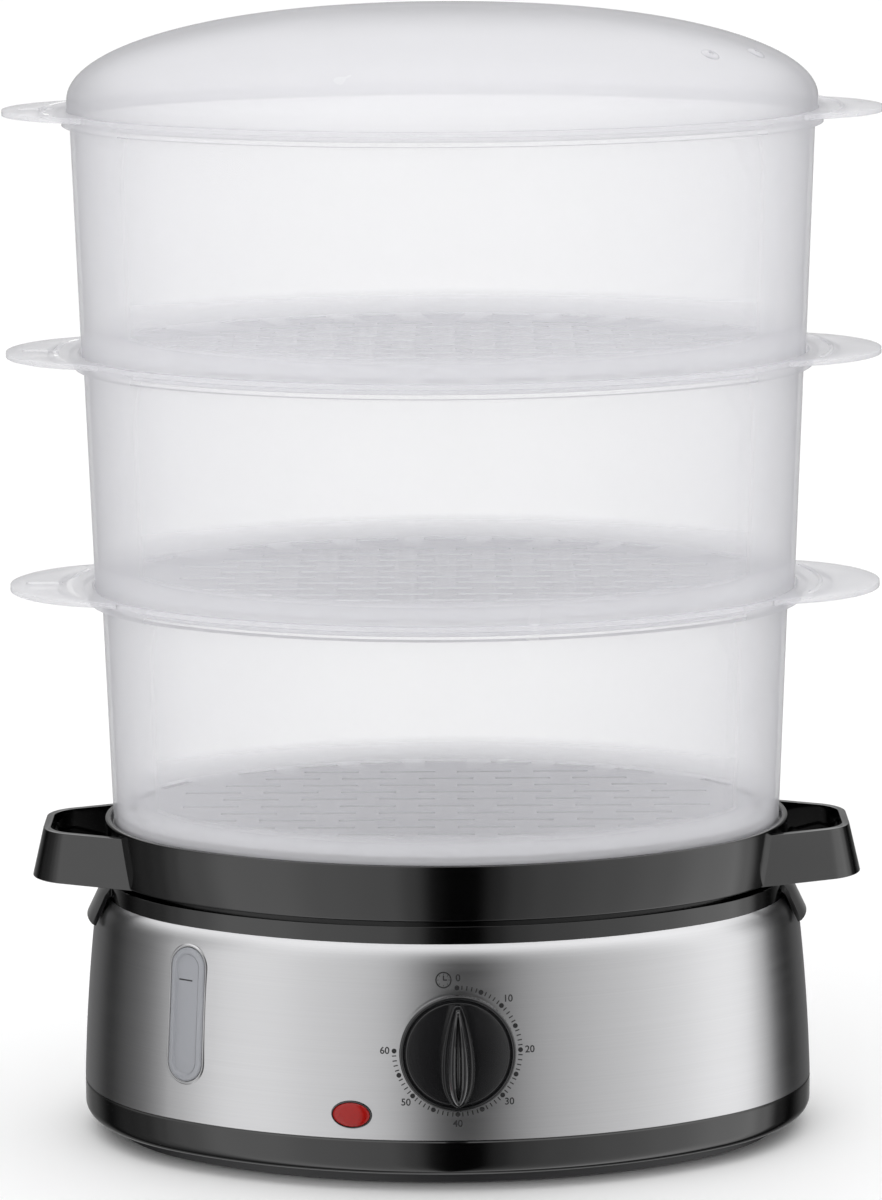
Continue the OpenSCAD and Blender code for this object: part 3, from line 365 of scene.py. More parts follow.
def soften(bm, radius, segments=2, angle=40, keep=None):
    """Rounds the edges that are sharper than an angle"""
    face_out(bm)
    edges = [e for e in bm.edges if len(e.link_faces) == 2 and e.calc_face_angle(0) > radians(angle)
             and (keep is None or keep(e))]
    bmesh.ops.bevel(bm, geom=edges, offset=radius, segments=segments, profile=0.5, affect="EDGES",
                    clamp_overlap=True, material=-1)


def middle(edge):
    return (edge.verts[0].co + edge.verts[1].co) / 2


def of_kind(made, kind):
    return [g for g in made if isinstance(g, kind)]


def next_ring(bm, loop):
    """Extrudes a ring of edges in place: gives the new ring's edges and points"""
    made = bmesh.ops.extrude_edge_only(bm, edges=loop)["geom"]
    return of_kind(made, bmesh.types.BMEdge), of_kind(made, bmesh.types.BMVert)


def stadium(bm, width, height, z=0.0, count=32):
    """An upright slot's outline as one flat face"""
    made = bmesh.ops.create_circle(bm, cap_ends=True, segments=count, radius=width / 2)["verts"]
    for v in made:
        v.co.y += (height - width) / 2 if v.co.y > 0 else -(height - width) / 2
        v.co.z = z
    return made


def raise_face(bm, verts, height):
    """Extrudes the face on these points up to make a solid"""
    face = next(f for f in bm.faces if set(f.verts) == set(verts))
    made = bmesh.ops.extrude_face_region(bm, geom=[face])["geom"]
    top = of_kind(made, bmesh.types.BMVert)
    bmesh.ops.translate(bm, verts=top, vec=(0, 0, height))


def stack(bm, levels, shape, count=96, closed=False):
    """Raises a ring of points through levels and fills the last, or joins it to the first where it is closed

    shape gives a point's place from its turn and its level."""
    ring = bmesh.ops.create_circle(bm, cap_ends=False, segments=count, radius=1)["verts"]
    turns = {v: atan2(v.co.y, v.co.x) for v in ring}
    loop = list({e for v in ring for e in v.link_edges})
    for v in ring:
        v.co = shape(turns[v], levels[0])
    for level in levels[1:]:
        loop, points = next_ring(bm, loop)
        around, new = set(loop), {}
        for v in points:
            below = next(u for e in v.link_edges if e not in around for u in e.verts if u in turns)
            new[v] = turns[below]
        for v, turn in new.items():
            v.co = shape(turn, level)
        turns = new
    if closed:
        bmesh.ops.remove_doubles(bm, verts=bm.verts, dist=SAME)
    else:
        bmesh.ops.holes_fill(bm, edges=loop, sides=0)


def oval_at(turn, level):
    """A point of a small oval: half length, half height and level, in millimetres"""
    return Vector((level[0] * MM * cos(turn), level[1] * MM * sin(turn), level[2] * MM))


def put(bm, matrix):
    bmesh.ops.transform(bm, matrix=matrix, verts=bm.verts)


def show(name, data):
    """A new object in the scene"""
    item = bpy.data.objects.new(name, data)
    bpy.context.scene.collection.objects.link(item)
    return item


def solid(name, bm):
    """An object with the bmesh's shape, faces outward"""
    face_out(bm)
    mesh = bpy.data.meshes.new(name)
    bm.to_mesh(mesh)
    bm.free()
    return show(name, mesh)


def applied(item):
    """Replaces an object's mesh by its mesh with the modifiers on it"""
    bpy.context.view_layer.update()
    graph = bpy.context.evaluated_depsgraph_get()
    mesh = bpy.data.meshes.new_from_object(item.evaluated_get(graph))
    item.modifiers.clear()
    item.data = mesh


def join_in(bm, part):
    """Moves a bmesh's shape into another"""
    mesh = bpy.data.meshes.new("part")
    part.to_mesh(mesh)
    part.free()
    bm.from_mesh(mesh)
    bpy.data.meshes.remove(mesh)


def combine(item, bm, operation="DIFFERENCE"):
    """Cuts a bmesh out of an object, or joins it on"""
    tool = solid("cutter", bm)
    modifier = item.modifiers.new("cut", "BOOLEAN")
    modifier.operation = operation
    modifier.solver = "EXACT"
    modifier.object = tool
    applied(item)
    bpy.data.objects.remove(tool)


def cut_through(item, outline, size, place, count=64):
    """Cuts an outline of a width and height through the band's face at a place"""
    bm = bmesh.new()
    raise_face(bm, outline(bm, *size, -8 * MM, count), 16 * MM)
    put(bm, place)
    combine(item, bm)


def dress(item, body, slot, nodes=(), angle=32, material=None):
    """Gives a finished piece its shading, material, body and place in the frame"""
    item.data.shade_smooth()
    item.data.set_sharp_from_angle(angle=radians(angle))
    item.data.materials.clear()
    item.data.materials.append(MATERIALS[material or slot])
    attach(item, body)
    if nodes:
        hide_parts(*nodes)
    return item


# ---------------------------------------------------------------- the band's face

LEAN, SHOULDER_IN, SHOULDER_H, BELLY = 4.2 * MM, 4.5 * MM, 8.5 * MM, 0.6 * MM
SHOULDER_Z = BAND_Z1 - SHOULDER_H
RUN = hypot(LEAN, SHOULDER_Z - BAND_Z0)
FACE_R = (RUN * RUN / 4 + BELLY * BELLY) / (2 * BELLY)
FACE_A0 = atan2(LEAN, SHOULDER_Z - BAND_Z0) - asin(RUN / 2 / FACE_R)
FACE_A1 = atan2(LEAN, SHOULDER_Z - BAND_Z0) + asin(RUN / 2 / FACE_R)
FACE_C = (-FACE_R * cos(FACE_A0), BAND_Z0 - FACE_R * sin(FACE_A0))
SHOULDER_TILT = atan2(SHOULDER_IN, SHOULDER_H)
SHOULDER_R = hypot(SHOULDER_IN, SHOULDER_H) / 2 / sin(SHOULDER_TILT - FACE_A1)
SHOULDER_C = (-LEAN - SHOULDER_R * cos(FACE_A1), SHOULDER_Z - SHOULDER_R * sin(FACE_A1))


def face_lean(z):
    return asin((z - FACE_C[1]) / FACE_R)


def face_off(z):
    return FACE_C[0] + FACE_R * cos(face_lean(z))


def on_front(x, z):
    """Place on the band's face: origin on it, +Z out of it, +Y up"""
    return (at(0, SIDE_C, 0) @ about("Z", asin(x / SIDE_R))
            @ at(0, -SIDE_R - face_off(z), z) @ about("X", pi / 2 - face_lean(z)))


def wrap_on_band(bm, x, z):
    """Lays flat work onto the band's face, its origin at (x, z)"""
    for v in bm.verts:
        height = z + v.co.y * cos(face_lean(z))
        turn = asin(x / SIDE_R) + v.co.x / SIDE_R
        radius = SIDE_R + face_off(height) + v.co.z
        v.co = Vector((radius * sin(turn), SIDE_C - radius * cos(turn), height))


def band_section(step, face_rows=18, shoulder_rows=10):
    face = arc(FACE_C, FACE_R - step, FACE_A0, FACE_A1, face_rows)
    return face + arc(SHOULDER_C, SHOULDER_R - step, FACE_A1, 2 * SHOULDER_TILT - FACE_A1, shoulder_rows)[1:]


# ---------------------------------------------------------------- pieces

class STEAMER_OT_materials(bpy.types.Operator):
    """Make the finishes of all pieces"""
    bl_idname = "steamer.materials"
    bl_label = "Finishes"

    def execute(self, context):
        MATERIALS.update(make_materials())
        return {"FINISHED"}


def lid_vent(item, x, y, edge, dome):
    """A raised oval with a hole through it, square to the dome"""
    r = END_R + LID_OFF
    pc, pp = x * END_C, x * x + y * y
    k = pp / (pc + sqrt(pc * pc + pp * (r * r - END_C * END_C)))
    out = Vector(((x / k - END_C) / r, y / k / r, 0))
    slope = (dome(k - 0.01) - dome(k + 0.01)) / 0.02 * k / (out.x * x + out.y * y)
    normal = Vector((out.x * slope, out.y * slope, 1)).normalized()
    place = at(x, y, edge + dome(k)) @ normal.to_track_quat("Z", "Y").to_matrix().to_4x4()
    boss = bmesh.new()
    bmesh.ops.create_uvsphere(boss, u_segments=32, v_segments=16, radius=1)
    bmesh.ops.scale(boss, vec=(3.3 * MM, 3.3 * MM, 1.1 * MM), verts=boss.verts)
    put(boss, place @ at(0, 0, -0.1 * MM))
    combine(item, boss, "UNION")
    hole = bmesh.new()
    bmesh.ops.create_cone(hole, cap_ends=True, segments=24, radius1=1.1 * MM, radius2=1.1 * MM, depth=12 * MM)
    put(hole, place)
    combine(item, hole)


class STEAMER_OT_lid(bpy.types.Operator):
    """Model the domed lid with its two steam vents"""
    bl_idname = "steamer.lid"
    bl_label = "Lid"

    def execute(self, context):
        seat, edge, off = SEATS[3], SEATS[3] + 7 * MM, LID_OFF

        def dome(k):
            return (LID_TOP - edge) * max(0.0, 1 - k ** 2.2) ** 0.49

        bm = bmesh.new()
        oval_spin(bm, [(off, seat), (off, seat + 3 * MM), (off, edge - 1 * MM), (off, edge)], closed=False)
        bm.edges.ensure_lookup_table()
        loop = [e for e in bm.edges if e.is_boundary and middle(e).z > edge - 0.1 * MM]
        size, level = 1.0, edge
        for k in [cos(pi / 2 * (i / 34) ** 1.2) for i in range(1, 34)]:
            loop, ring = next_ring(bm, loop)
            bmesh.ops.scale(bm, vec=(k / size, k / size, 1), verts=ring)
            bmesh.ops.translate(bm, vec=(0, 0, edge + dome(k) - level), verts=ring)
            size, level = k, edge + dome(k)
        ring = next_ring(bm, loop)[1]
        bmesh.ops.pointmerge(bm, verts=ring, merge_co=(0, 0, LID_TOP))
        item = solid("lid_dome", bm)
        thick = item.modifiers.new("wall", "SOLIDIFY")
        thick.thickness = sizes().lid_wall
        thick.offset = -1
        thick.use_even_offset = True
        applied(item)
        for x, y in ((0.7, -0.51), (0.827, -0.308)):
            lid_vent(item, x * HALF_L, y * HALF_W, edge, dome)
        dress(item, "lid", "clear_frosted", ["lid"])
        return {"FINISHED"}


def ear_outline(turn, base, reach, radius):
    """Distance from an end arc's centre to the lip's outline, in a direction"""
    fillet = 9 * MM
    away = reach - radius - END_C
    fx = ((base + fillet) ** 2 - (radius + fillet) ** 2 + away * away) / (2 * away)
    fy = sqrt((base + fillet) ** 2 - fx * fx)
    share = radius / (radius + fillet)
    touch = atan2(fy * share, away + (fx - away) * share)
    turn = abs(turn)
    if turn <= touch:
        along = away * cos(turn)
        return along + sqrt(radius * radius - away * away + along * along)
    if turn < atan2(fy, fx):
        along = fx * cos(turn) + fy * sin(turn)
        return along - sqrt(max(0.0, fillet * fillet - fx * fx - fy * fy + along * along))
    return base


def make_basket(node, seat, above, foot, rim):
    w = sizes().wall
    top = foot + 2.9 * MM
    shelf = above - 1.6 * MM
    lip_z = shelf + 3.4 * MM
    lip_t = 1.8 * MM
    lip = rim + 1.6 * MM
    floor = seat + 3.2 * MM
    inner = -34 * MM
    bm = bmesh.new()
    walls = [(foot + (top - foot) * i / 6, seat + (shelf - seat) * i / 6) for i in range(7)]
    inside = [(x - w, z + 1.6 * MM * i / 6) for i, (x, z) in enumerate(walls)]
    start = floor + 1.8 * MM
    inside = [p for p in inside if p[1] > start + 2 * MM]
    foot_in = foot - w + (top - foot) * (start - seat) / (shelf - seat)
    oval_spin(bm, [
        (inner, floor), (foot - w, floor), (foot - w, seat), *walls, (rim, shelf), (rim, lip_z), (lip, lip_z),
        (lip, lip_z + lip_t), (rim, lip_z + lip_t), (rim - w, lip_z + lip_t), (rim - w, shelf + 1.6 * MM),
        *inside[::-1], (foot_in, start), (inner, start)
    ], closed=False, end_steps=112)
    # Ears: the lip's outer faces at both ends, drawn out to the ears' outline
    face_out(bm)
    reach, radius = sizes().ear_reach, sizes().ear_radius
    for side in (1, -1):
        def turn_of(point):
            return atan2(point.y, (point.x - side * END_C) * side)

        def on_lip(face):
            mid = face.calc_center_median()
            return (abs(face.normal.z) < 0.1 and lip_z < mid.z < lip_z + lip_t and side * mid.x > END_C
                    and hypot(mid.x - side * END_C, mid.y) > END_R + rim + 1 * MM
                    and abs(turn_of(mid)) < radians(36))

        faces = [f for f in bm.faces if on_lip(f)]
        for part in (0.35, 1.0):
            made = bmesh.ops.extrude_face_region(bm, geom=faces)["geom"]
            faces = of_kind(made, bmesh.types.BMFace)
            for v in of_kind(made, bmesh.types.BMVert):
                turn = turn_of(v.co)
                goal = ear_outline(turn, END_R + lip, reach, radius)
                now = END_R + lip + (goal - END_R - lip) * part
                v.co.x = side * (END_C + now * cos(turn))
                v.co.y = now * sin(turn)
    bmesh.ops.remove_doubles(bm, verts=bm.verts, dist=0.005 * MM)
    bmesh.ops.dissolve_degenerate(bm, edges=bm.edges, dist=0.005 * MM)
    face_out(bm)
    soften(bm, sizes().edge, 2, 40)
    # The floor's middle, above and below
    close(bm)
    item = solid(node + "_body", bm)
    combine(item, steam_slots(foot - w, floor))
    # A hanging slot in the left ear
    slot = bmesh.new()
    raise_face(slot, stadium(slot, 5 * MM, 13 * MM), 10 * MM)
    put(slot, at(-reach + 12 * MM, 0, lip_z - 4 * MM) @ about("Z", pi / 2))
    combine(item, slot)
    combine(item, ear_ribs(rim, lip_z + lip_t, reach, radius), "UNION")
    thick = item.data.attributes.new("thick", "FLOAT", "POINT")
    for vert, value in zip(item.data.vertices, thick.data):
        value.value = 1.0 if vert.co.z < start + 0.1 * MM else 0.0
    dress(item, node, "frosted", [node])


def steam_slots(off, floor):
    """Steam slots: rows in the middle and a curved row near the wall"""
    bm = bmesh.new()
    length, width, row, pitch = 20 * MM, 3 * MM, 12 * MM, 28 * MM
    edge, ring = off - 13 * MM, off - 5.5 * MM
    across = about("Z", pi / 2)
    places = []
    for j in range(-5, 6):
        for i in range(-4, 5):
            x = (i + (0.5 if j % 2 else 0)) * pitch
            if ((abs(x) + length / 2) / (HALF_L + edge)) ** 2 + (j * row / (HALF_W + edge)) ** 2 < 1:
                places.append(at(x, j * row, 0))
    for side in (0, pi):
        turned = about("Z", side)
        for a in range(-2, 3):
            places.append(turned @ at(END_C, 0, 0) @ about("Z", radians(a * 19))
                          @ at(END_R + ring, 0, 0) @ across)
        for a in range(-3, 4):
            places.append(turned @ at(0, -SIDE_C, 0)
                          @ about("Z", radians(90 + a * 9.6))
                          @ at(SIDE_R + ring, 0, 0) @ across)
    curved = 24
    for index, place in enumerate(places):
        long = length if index < len(places) - curved else 15.5 * MM
        verts = bmesh.ops.create_cube(bm, size=1)["verts"]
        bmesh.ops.transform(bm, verts=verts, matrix=place @ at(0, 0, floor + 0.9 * MM)
                            @ Matrix.Diagonal((long, width, 4 * MM, 1)))
    return bm


def ear_ribs(rim, top, reach, radius):
    """A low round rib on each ear, round the rim"""
    bm = bmesh.new()
    half = 0.36
    for side in (0, pi):
        part = bmesh.new()
        section = arc((END_R + rim + 6.5 * MM, top - 0.1 * MM), 0.8 * MM, -0.1, pi + 0.1, 6)
        verts = [part.verts.new((END_C + r * cos(-half), r * sin(-half), z)) for r, z in section]
        face = part.faces.new(verts)
        bmesh.ops.spin(part, geom=[face], cent=(END_C, 0, 0), axis=(0, 0, 1), dvec=(0, 0, 0), angle=2 * half,
                       steps=40, use_merge=False, use_normal_flip=False, use_duplicate=False)
        bmesh.ops.rotate(part, verts=part.verts, cent=(0, 0, 0), matrix=Matrix.Rotation(side, 3, "Z"))
        face_out(part)
        join_in(bm, part)
    return bm


class STEAMER_OT_baskets(bpy.types.Operator):
    """Model the three baskets with their stepped rims, ears and slotted floors"""
    bl_idname = "steamer.baskets"
    bl_label = "Baskets"

    def execute(self, context):
        # Each basket's offsets from the oval, at its foot and inside its rim
        for node, level, foot, rim in (("lower_basket", 0, -11.6, -3.7), ("middle_basket", 1, -6.4, -0.2),
                                       ("upper_basket", 2, -2.9, 2.9)):
            make_basket(node, SEATS[level], SEATS[level + 1], foot * MM, rim * MM)
        return {"FINISHED"}


def handle_block(low_grow, high_grow, z0, z1):
    """A handle's outline as a block: a hull round four round posts"""
    bm = bmesh.new()
    reach = sizes().handle_reach
    for x, y, r in ((reach - 19 * MM, 9 * MM, 19 * MM), (98 * MM, 34 * MM, 9 * MM)):
        for side in (1, -1):
            for z, grow in ((z0, low_grow), (z1, high_grow)):
                bmesh.ops.create_circle(bm, segments=96, radius=r + grow,
                                        matrix=at(x, side * y, z))
    bmesh.ops.convex_hull(bm, input=bm.verts)
    loose = [v for v in bm.verts if not v.link_faces]
    bmesh.ops.delete(bm, geom=loose, context="VERTS")
    bmesh.ops.dissolve_limit(bm, angle_limit=radians(0.2), verts=bm.verts, edges=bm.edges)
    return bm


def tray_handles(off):
    """Open loops with rounded edges, on both ends of the collar"""
    z0, z1 = TRAY_Z0, COLLAR_Z - 2.4 * MM
    item = solid("handle", handle_block(0, -4 * MM, z0, z1))
    combine(item, handle_block(-2.6 * MM, -6.6 * MM, z0, z1 + 1e-5))
    keep = bmesh.new()
    oval_spin(keep, [(off, z0 - 5 * MM), (off, z1 + 5 * MM)], closed=False)
    close(keep)
    combine(item, keep)
    bm = bmesh.new()
    bm.from_mesh(item.data)
    bmesh.ops.remove_doubles(bm, verts=bm.verts, dist=0.02 * MM)
    soften(bm, 1.1 * MM, 3, 50, lambda e: abs(e.verts[0].co.z - e.verts[1].co.z) < 0.01 * MM)
    bm.to_mesh(item.data)
    bmesh.ops.rotate(bm, verts=bm.verts, cent=(0, 0, 0), matrix=Matrix.Rotation(pi, 3, "Z"))
    bm.from_mesh(item.data)
    bm.to_mesh(item.data)
    bm.free()
    return item


class STEAMER_OT_drip_tray(bpy.types.Operator):
    """Model the drip tray with its collar, basin, steam opening and handles"""
    bl_idname = "steamer.drip_tray"
    bl_label = "Drip tray"

    def execute(self, context):
        w, o, b = BASE_WALL, COLLAR_OFF, BASIN_OFF
        seat, floor = SEATS[0], RIM_Z - 5.5 * MM
        bm = bmesh.new()
        oval_spin(bm, [(o, TRAY_Z0), (o, COLLAR_Z), (o - w, COLLAR_Z), (o - w, seat), (b - w, seat),
                       (b - w, floor + w), (b - 3 * w, floor + w), (b - 3 * w, floor), (b, floor),
                       (b, seat - w), (o - w, seat - w), (o - w, TRAY_Z0)])
        soften(bm, 0.8 * MM, 3, 40)
        item = solid("drip_tray_body", bm)
        bm = bmesh.new()
        oval_spin(bm, [(b - 2.5 * w, floor), (b - 2.5 * w, floor + w)], closed=False)
        close(bm)
        hole = bmesh.new()
        bmesh.ops.create_cone(hole, cap_ends=True, segments=96, radius1=42.5 * MM, radius2=42.5 * MM, depth=1)
        plate = solid("plate", bm)
        combine(plate, hole)
        bm = bmesh.new()
        bm.from_mesh(plate.data)
        bpy.data.objects.remove(plate)
        part = bmesh.new()
        round_spin(part, [(42 * MM, floor), (44.2 * MM, floor), (44.2 * MM, floor + 17 * MM),
                          (43.1 * MM, floor + 18 * MM), (42 * MM, floor + 18 * MM)])
        soften(part, 0.5 * MM, 2, 30)
        join_in(bm, part)
        handles = tray_handles(o - w / 2)
        bm.from_mesh(handles.data)
        bm.from_mesh(item.data)
        bpy.data.objects.remove(item)
        bpy.data.objects.remove(handles)
        item = solid("drip_tray_body", bm)
        dress(item, "drip_tray", "black_gloss", ["drip_tray"])
        return {"FINISHED"}


def window_edge():
    """The band's edge, pressed in round the window: a thin rolled rim"""
    bm = bmesh.new()
    for width, z in ((16.4, 0.02), (15.6, 0.32), (15.0, 0.3), (14.5, -0.9)):
        ring = bmesh.ops.create_circle(bm, cap_ends=False, segments=96, radius=width * MM / 2)["verts"]
        for v in ring:
            v.co.y += 16.5 * MM if v.co.y > 0 else -16.5 * MM
            v.co.z = z * MM
    rings = bm.edges[:]
    for i in range(3):
        bmesh.ops.bridge_loops(bm, edges=rings[96 * i:96 * (i + 2)])
    wrap_on_band(bm, WINDOW_X, WINDOW_Z)
    dress(solid("window_edge", bm), "base", "brushed_band")


class STEAMER_OT_band(bpy.types.Operator):
    """Model the brushed steel band with its openings and the pressed edge round the water window"""
    bl_idname = "steamer.band"
    bl_label = "Steel band"

    def execute(self, context):
        t = 0.6 * MM
        outside, inside = band_section(0), band_section(t)
        flange = RIM_OFF - 1.2 * MM
        bm = bmesh.new()
        oval_spin(bm, outside + [(flange, BAND_Z1), (flange, BAND_Z1 - t), (inside[-1][0], BAND_Z1 - t)]
                  + inside[-2::-1])
        item = solid("steel_band_body", bm)
        cut_through(item, stadium, WINDOW_CUT, on_front(WINDOW_X, WINDOW_Z))
        cut_through(item, stadium, (10 * MM, 10 * MM), on_front(KNOB_X, KNOB_Z))
        cut_through(item, lens, (14.4 * MM, 9.8 * MM), on_front(LAMP_X, LAMP_Z))
        cut_through(item, stadium, (12 * MM, 12 * MM), about("Z", pi) @ on_front(0, GLAND_Z))
        dress(item, "base", "brushed_band", ["steel_band"], 24)
        window_edge()
        return {"FINISHED"}


def lens(bm, width, height, z=0.0, count=64):
    """A small oval's outline with its long axis along X, as one flat face"""
    made = bmesh.ops.create_circle(bm, cap_ends=True, segments=count, radius=0.5)["verts"]
    bmesh.ops.scale(bm, vec=(width, height, 1), verts=made)
    bmesh.ops.translate(bm, vec=(0, 0, z), verts=made)
    return made


class STEAMER_OT_housing(bpy.types.Operator):
    """Model the black housing with its rounded skirt"""
    bl_idname = "steamer.housing"
    bl_label = "Housing"

    def execute(self, context):
        w, gap = BASE_WALL, 0.8 * MM
        z0 = low("base_housing")[2]
        outside, inside = band_section(gap, 6, 5), band_section(3 * MM, 6, 5)
        r = 4.5 * MM
        foot = arc((-r, z0 + r), r, -pi / 2, 0, 8)
        groove = BAND_Z0 - 0.9 * MM
        bm = bmesh.new()
        oval_spin(bm, foot + [(0, groove), (-0.35 * MM, groove + 0.45 * MM), (-0.35 * MM, BAND_Z0),
                              (outside[0][0], BAND_Z0)] + outside[1:-1]
                  + [(outside[-1][0], BAND_Z1 - gap), (BASIN_OFF + 4 * MM, BAND_Z1 - gap),
                     (BASIN_OFF + 4 * MM, BAND_Z1 - gap - w)]
                  + inside[-3::-1] + [(inside[0][0], z0 + w), (-14.5 * MM, z0 + w), (-14.5 * MM, z0)])
        item = solid("base_housing_body", bm)
        cut_through(item, stadium, WINDOW_CUT, on_front(WINDOW_X, WINDOW_Z), 48)
        cut_through(item, stadium, (10 * MM, 10 * MM), on_front(KNOB_X, KNOB_Z), 48)
        cut_through(item, stadium, (12.6 * MM, 12.6 * MM), on_front(LAMP_X, LAMP_Z), 48)
        dress(item, "base", "black_gloss", ["base_housing"])
        return {"FINISHED"}


class STEAMER_OT_window(bpy.types.Operator):
    """Model the water window with its bevelled edge and fill line"""
    bl_idname = "steamer.window"
    bl_label = "Water window"

    def execute(self, context):
        bm = bmesh.new()
        raise_face(bm, stadium(bm, 14 * MM, 47 * MM, -5.4 * MM, 64), 5.9 * MM)
        soften(bm, 0.9 * MM, 3, 50, lambda e: middle(e).z > 0)
        face_out(bm)
        top = max(bm.faces, key=lambda f: (round(f.calc_center_median().z, 6), f.calc_area()))
        bmesh.ops.inset_region(bm, faces=[top], thickness=1.1 * MM, depth=0)
        bmesh.ops.inset_region(bm, faces=[top], thickness=0.7 * MM, depth=-0.6 * MM)
        bmesh.ops.inset_region(bm, faces=[top], thickness=1.5 * MM, depth=0.15 * MM)
        put(bm, on_front(WINDOW_X, WINDOW_Z))
        dress(solid("water_window_body", bm), "base", "window_plastic", ["water_window"])
        bm = bmesh.new()
        verts = bmesh.ops.create_cube(bm, size=1)["verts"]
        bmesh.ops.scale(bm, vec=(5.6 * MM, 0.55 * MM, 0.2 * MM), verts=verts)
        bmesh.ops.translate(bm, vec=(-0.7 * MM, 12 * MM, 0.0 * MM), verts=verts)
        soften(bm, 0.08 * MM, 2)
        put(bm, on_front(WINDOW_X, WINDOW_Z))
        dress(solid("fill_line", bm), "base", "window_plastic", material="dark_mark")
        return {"FINISHED"}


class STEAMER_OT_lamp(bpy.types.Operator):
    """Model the lamp's red lens and its bezel"""
    bl_idname = "steamer.lamp"
    bl_label = "Lamp"

    def execute(self, context):
        bm = bmesh.new()
        dome = [(6.5 * cos(t), 4.2 * cos(t), 0.35 + 1.2 * sin(t)) for t in (pi / 2 * i / 9 for i in range(9))]
        stack(bm, [(6.5, 4.2, -4.0), *dome, (0.4, 0.3, 1.55)], oval_at, 64)
        close(bm)
        put(bm, on_front(LAMP_X, LAMP_Z))
        dress(solid("lamp_lens_body", bm), "base", "lens_red", ["lamp_lens"])
        bm = bmesh.new()
        stack(bm, [(7.0, 4.7, -4.0), (7.0, 4.7, 0.4), (6.9, 4.6, 0.6), (6.7, 4.4, 0.6), (6.55, 4.25, 0.4),
                   (6.55, 4.25, -4.0), (7.0, 4.7, -4.0)], oval_at, 64, True)
        put(bm, on_front(LAMP_X, LAMP_Z))
        dress(solid("lamp_bezel_body", bm), "base", "black_gloss", ["lamp_bezel"])
        return {"FINISHED"}


class STEAMER_OT_knob(bpy.types.Operator):
    """Model the timer knob: a ringed disc with a leaf-shaped grip"""
    bl_idname = "steamer.knob"
    bl_label = "Timer knob"

    def execute(self, context):
        r, t = sizes().knob_radius, 4 * MM
        hollow = r - 2 * MM
        bm = bmesh.new()
        bead = arc((r - 0.75 * MM, t - 0.75 * MM), 0.75 * MM, 0, pi, 8)
        inner = arc((r - 2.6 * MM, t - 0.5 * MM), 0.35 * MM, 0, pi, 6)
        round_spin(bm, [(3.0 * MM, 0), (5.4 * MM, 0), (5.4 * MM, 1.8 * MM), (hollow, 1.8 * MM), (hollow, 0),
                        (r, 0), *bead, (r - 1.7 * MM, t - 1.1 * MM), (r - 2.1 * MM, t - 1.1 * MM), *inner,
                        (r - 3.2 * MM, t - 0.55 * MM), (3.0 * MM, t - 0.4 * MM)], steps=128)
        height = sizes().grip_height + 0.15 * MM
        crest = 60 * MM

        def drop(turn, level):
            """The grip's outline, narrow and flat at the top and round below, shared out by the level"""
            across, up, along = level
            y = 17.5 * MM * sin(turn)
            way = (17.5 * MM - y) / (35 * MM)
            if way < 0.67:
                half = 1.8 + 4.1 * sin(pi / 2 * way / 0.67) ** 0.85
            else:
                half = 5.9 * sqrt(max(0.0, 1 - ((way - 0.67) / 0.33) ** 2.6))
            y *= along
            full = height - crest + sqrt(crest * crest - (y + 3 * MM) ** 2)
            side = abs(cos(turn)) ** 0.3 * (1 if cos(turn) > 0 else -1)
            return Vector((half * MM * side * across, y, t - 0.45 * MM + full * up))

        # Shares of the grip's width, height and length: its side, a ledge, the spine and the groove in its crest
        stack(bm, [(1.0, 0.0, 1.0), (0.99, 0.5, 1.0), (0.975, 0.64, 0.997), (0.94, 0.685, 0.99),
                   (0.89, 0.69, 0.98), (0.70, 0.66, 0.95), (0.66, 0.68, 0.945), (0.62, 0.80, 0.94),
                   (0.56, 0.91, 0.93), (0.46, 0.985, 0.91), (0.34, 1.0, 0.88), (0.22, 0.985, 0.84),
                   (0.15, 0.94, 0.81), (0.11, 0.86, 0.79), (0.04, 0.84, 0.78)], drop)
        put(bm, on_front(KNOB_X, KNOB_Z) @ at(0, 0, 1.6 * MM))
        dress(solid("timer_knob_body", bm), "timer_knob", "knob_gloss", ["timer_knob"], 40)
        return {"FINISHED"}


def flat_ring(bm, x, y, inner, outer, z, count=32):
    """A thin flat ring at a place"""
    edges = []
    for radius in (inner, outer):
        ring = bmesh.ops.create_circle(bm, cap_ends=False, segments=count, radius=radius,
                                       matrix=at(x, y, z))["verts"]
        edges += {e for v in ring for e in v.link_edges}
    bmesh.ops.bridge_loops(bm, edges=edges)


def dial_bar(bm, place, turn, length, width, z):
    verts = bmesh.ops.create_grid(bm, x_segments=1, y_segments=1, size=0.5)["verts"]
    matrix = (at(*place, z) @ about("Z", turn)
              @ Matrix.Diagonal((length, width, 1, 1)))
    bmesh.ops.transform(bm, verts=verts, matrix=matrix)


def dial_number(bm, text, x, y, z):
    curve = bpy.data.curves.new("number", "FONT")
    curve.body = text
    curve.size = sizes().number_height
    curve.offset = 0.045 * MM
    curve.align_x, curve.align_y = "CENTER", "CENTER"
    holder = show("number", curve)
    bpy.context.view_layer.update()
    mesh = holder.to_mesh()
    before = set(bm.verts)
    bm.from_mesh(mesh)
    holder.to_mesh_clear()
    made = [v for v in bm.verts if v not in before]
    bmesh.ops.translate(bm, verts=made, vec=(x, y, z))
    bpy.data.objects.remove(holder)
    bpy.data.curves.remove(curve)


def clock_sign(bm, x, y, z):
    """A ring with two hands and four marks"""
    flat_ring(bm, x, y, 2.4 * MM, 2.85 * MM, z)
    dial_bar(bm, (x, y + 0.75 * MM), pi / 2, 1.6 * MM, 0.42 * MM, z)
    dial_bar(bm, (x + 0.6 * MM, y), 0, 1.3 * MM, 0.42 * MM, z)
    for i in range(8):
        turn = i * pi / 4
        dial_bar(bm, (x + 1.95 * MM * cos(turn), y + 1.95 * MM * sin(turn)), turn, 0.45 * MM, 0.2 * MM, z)


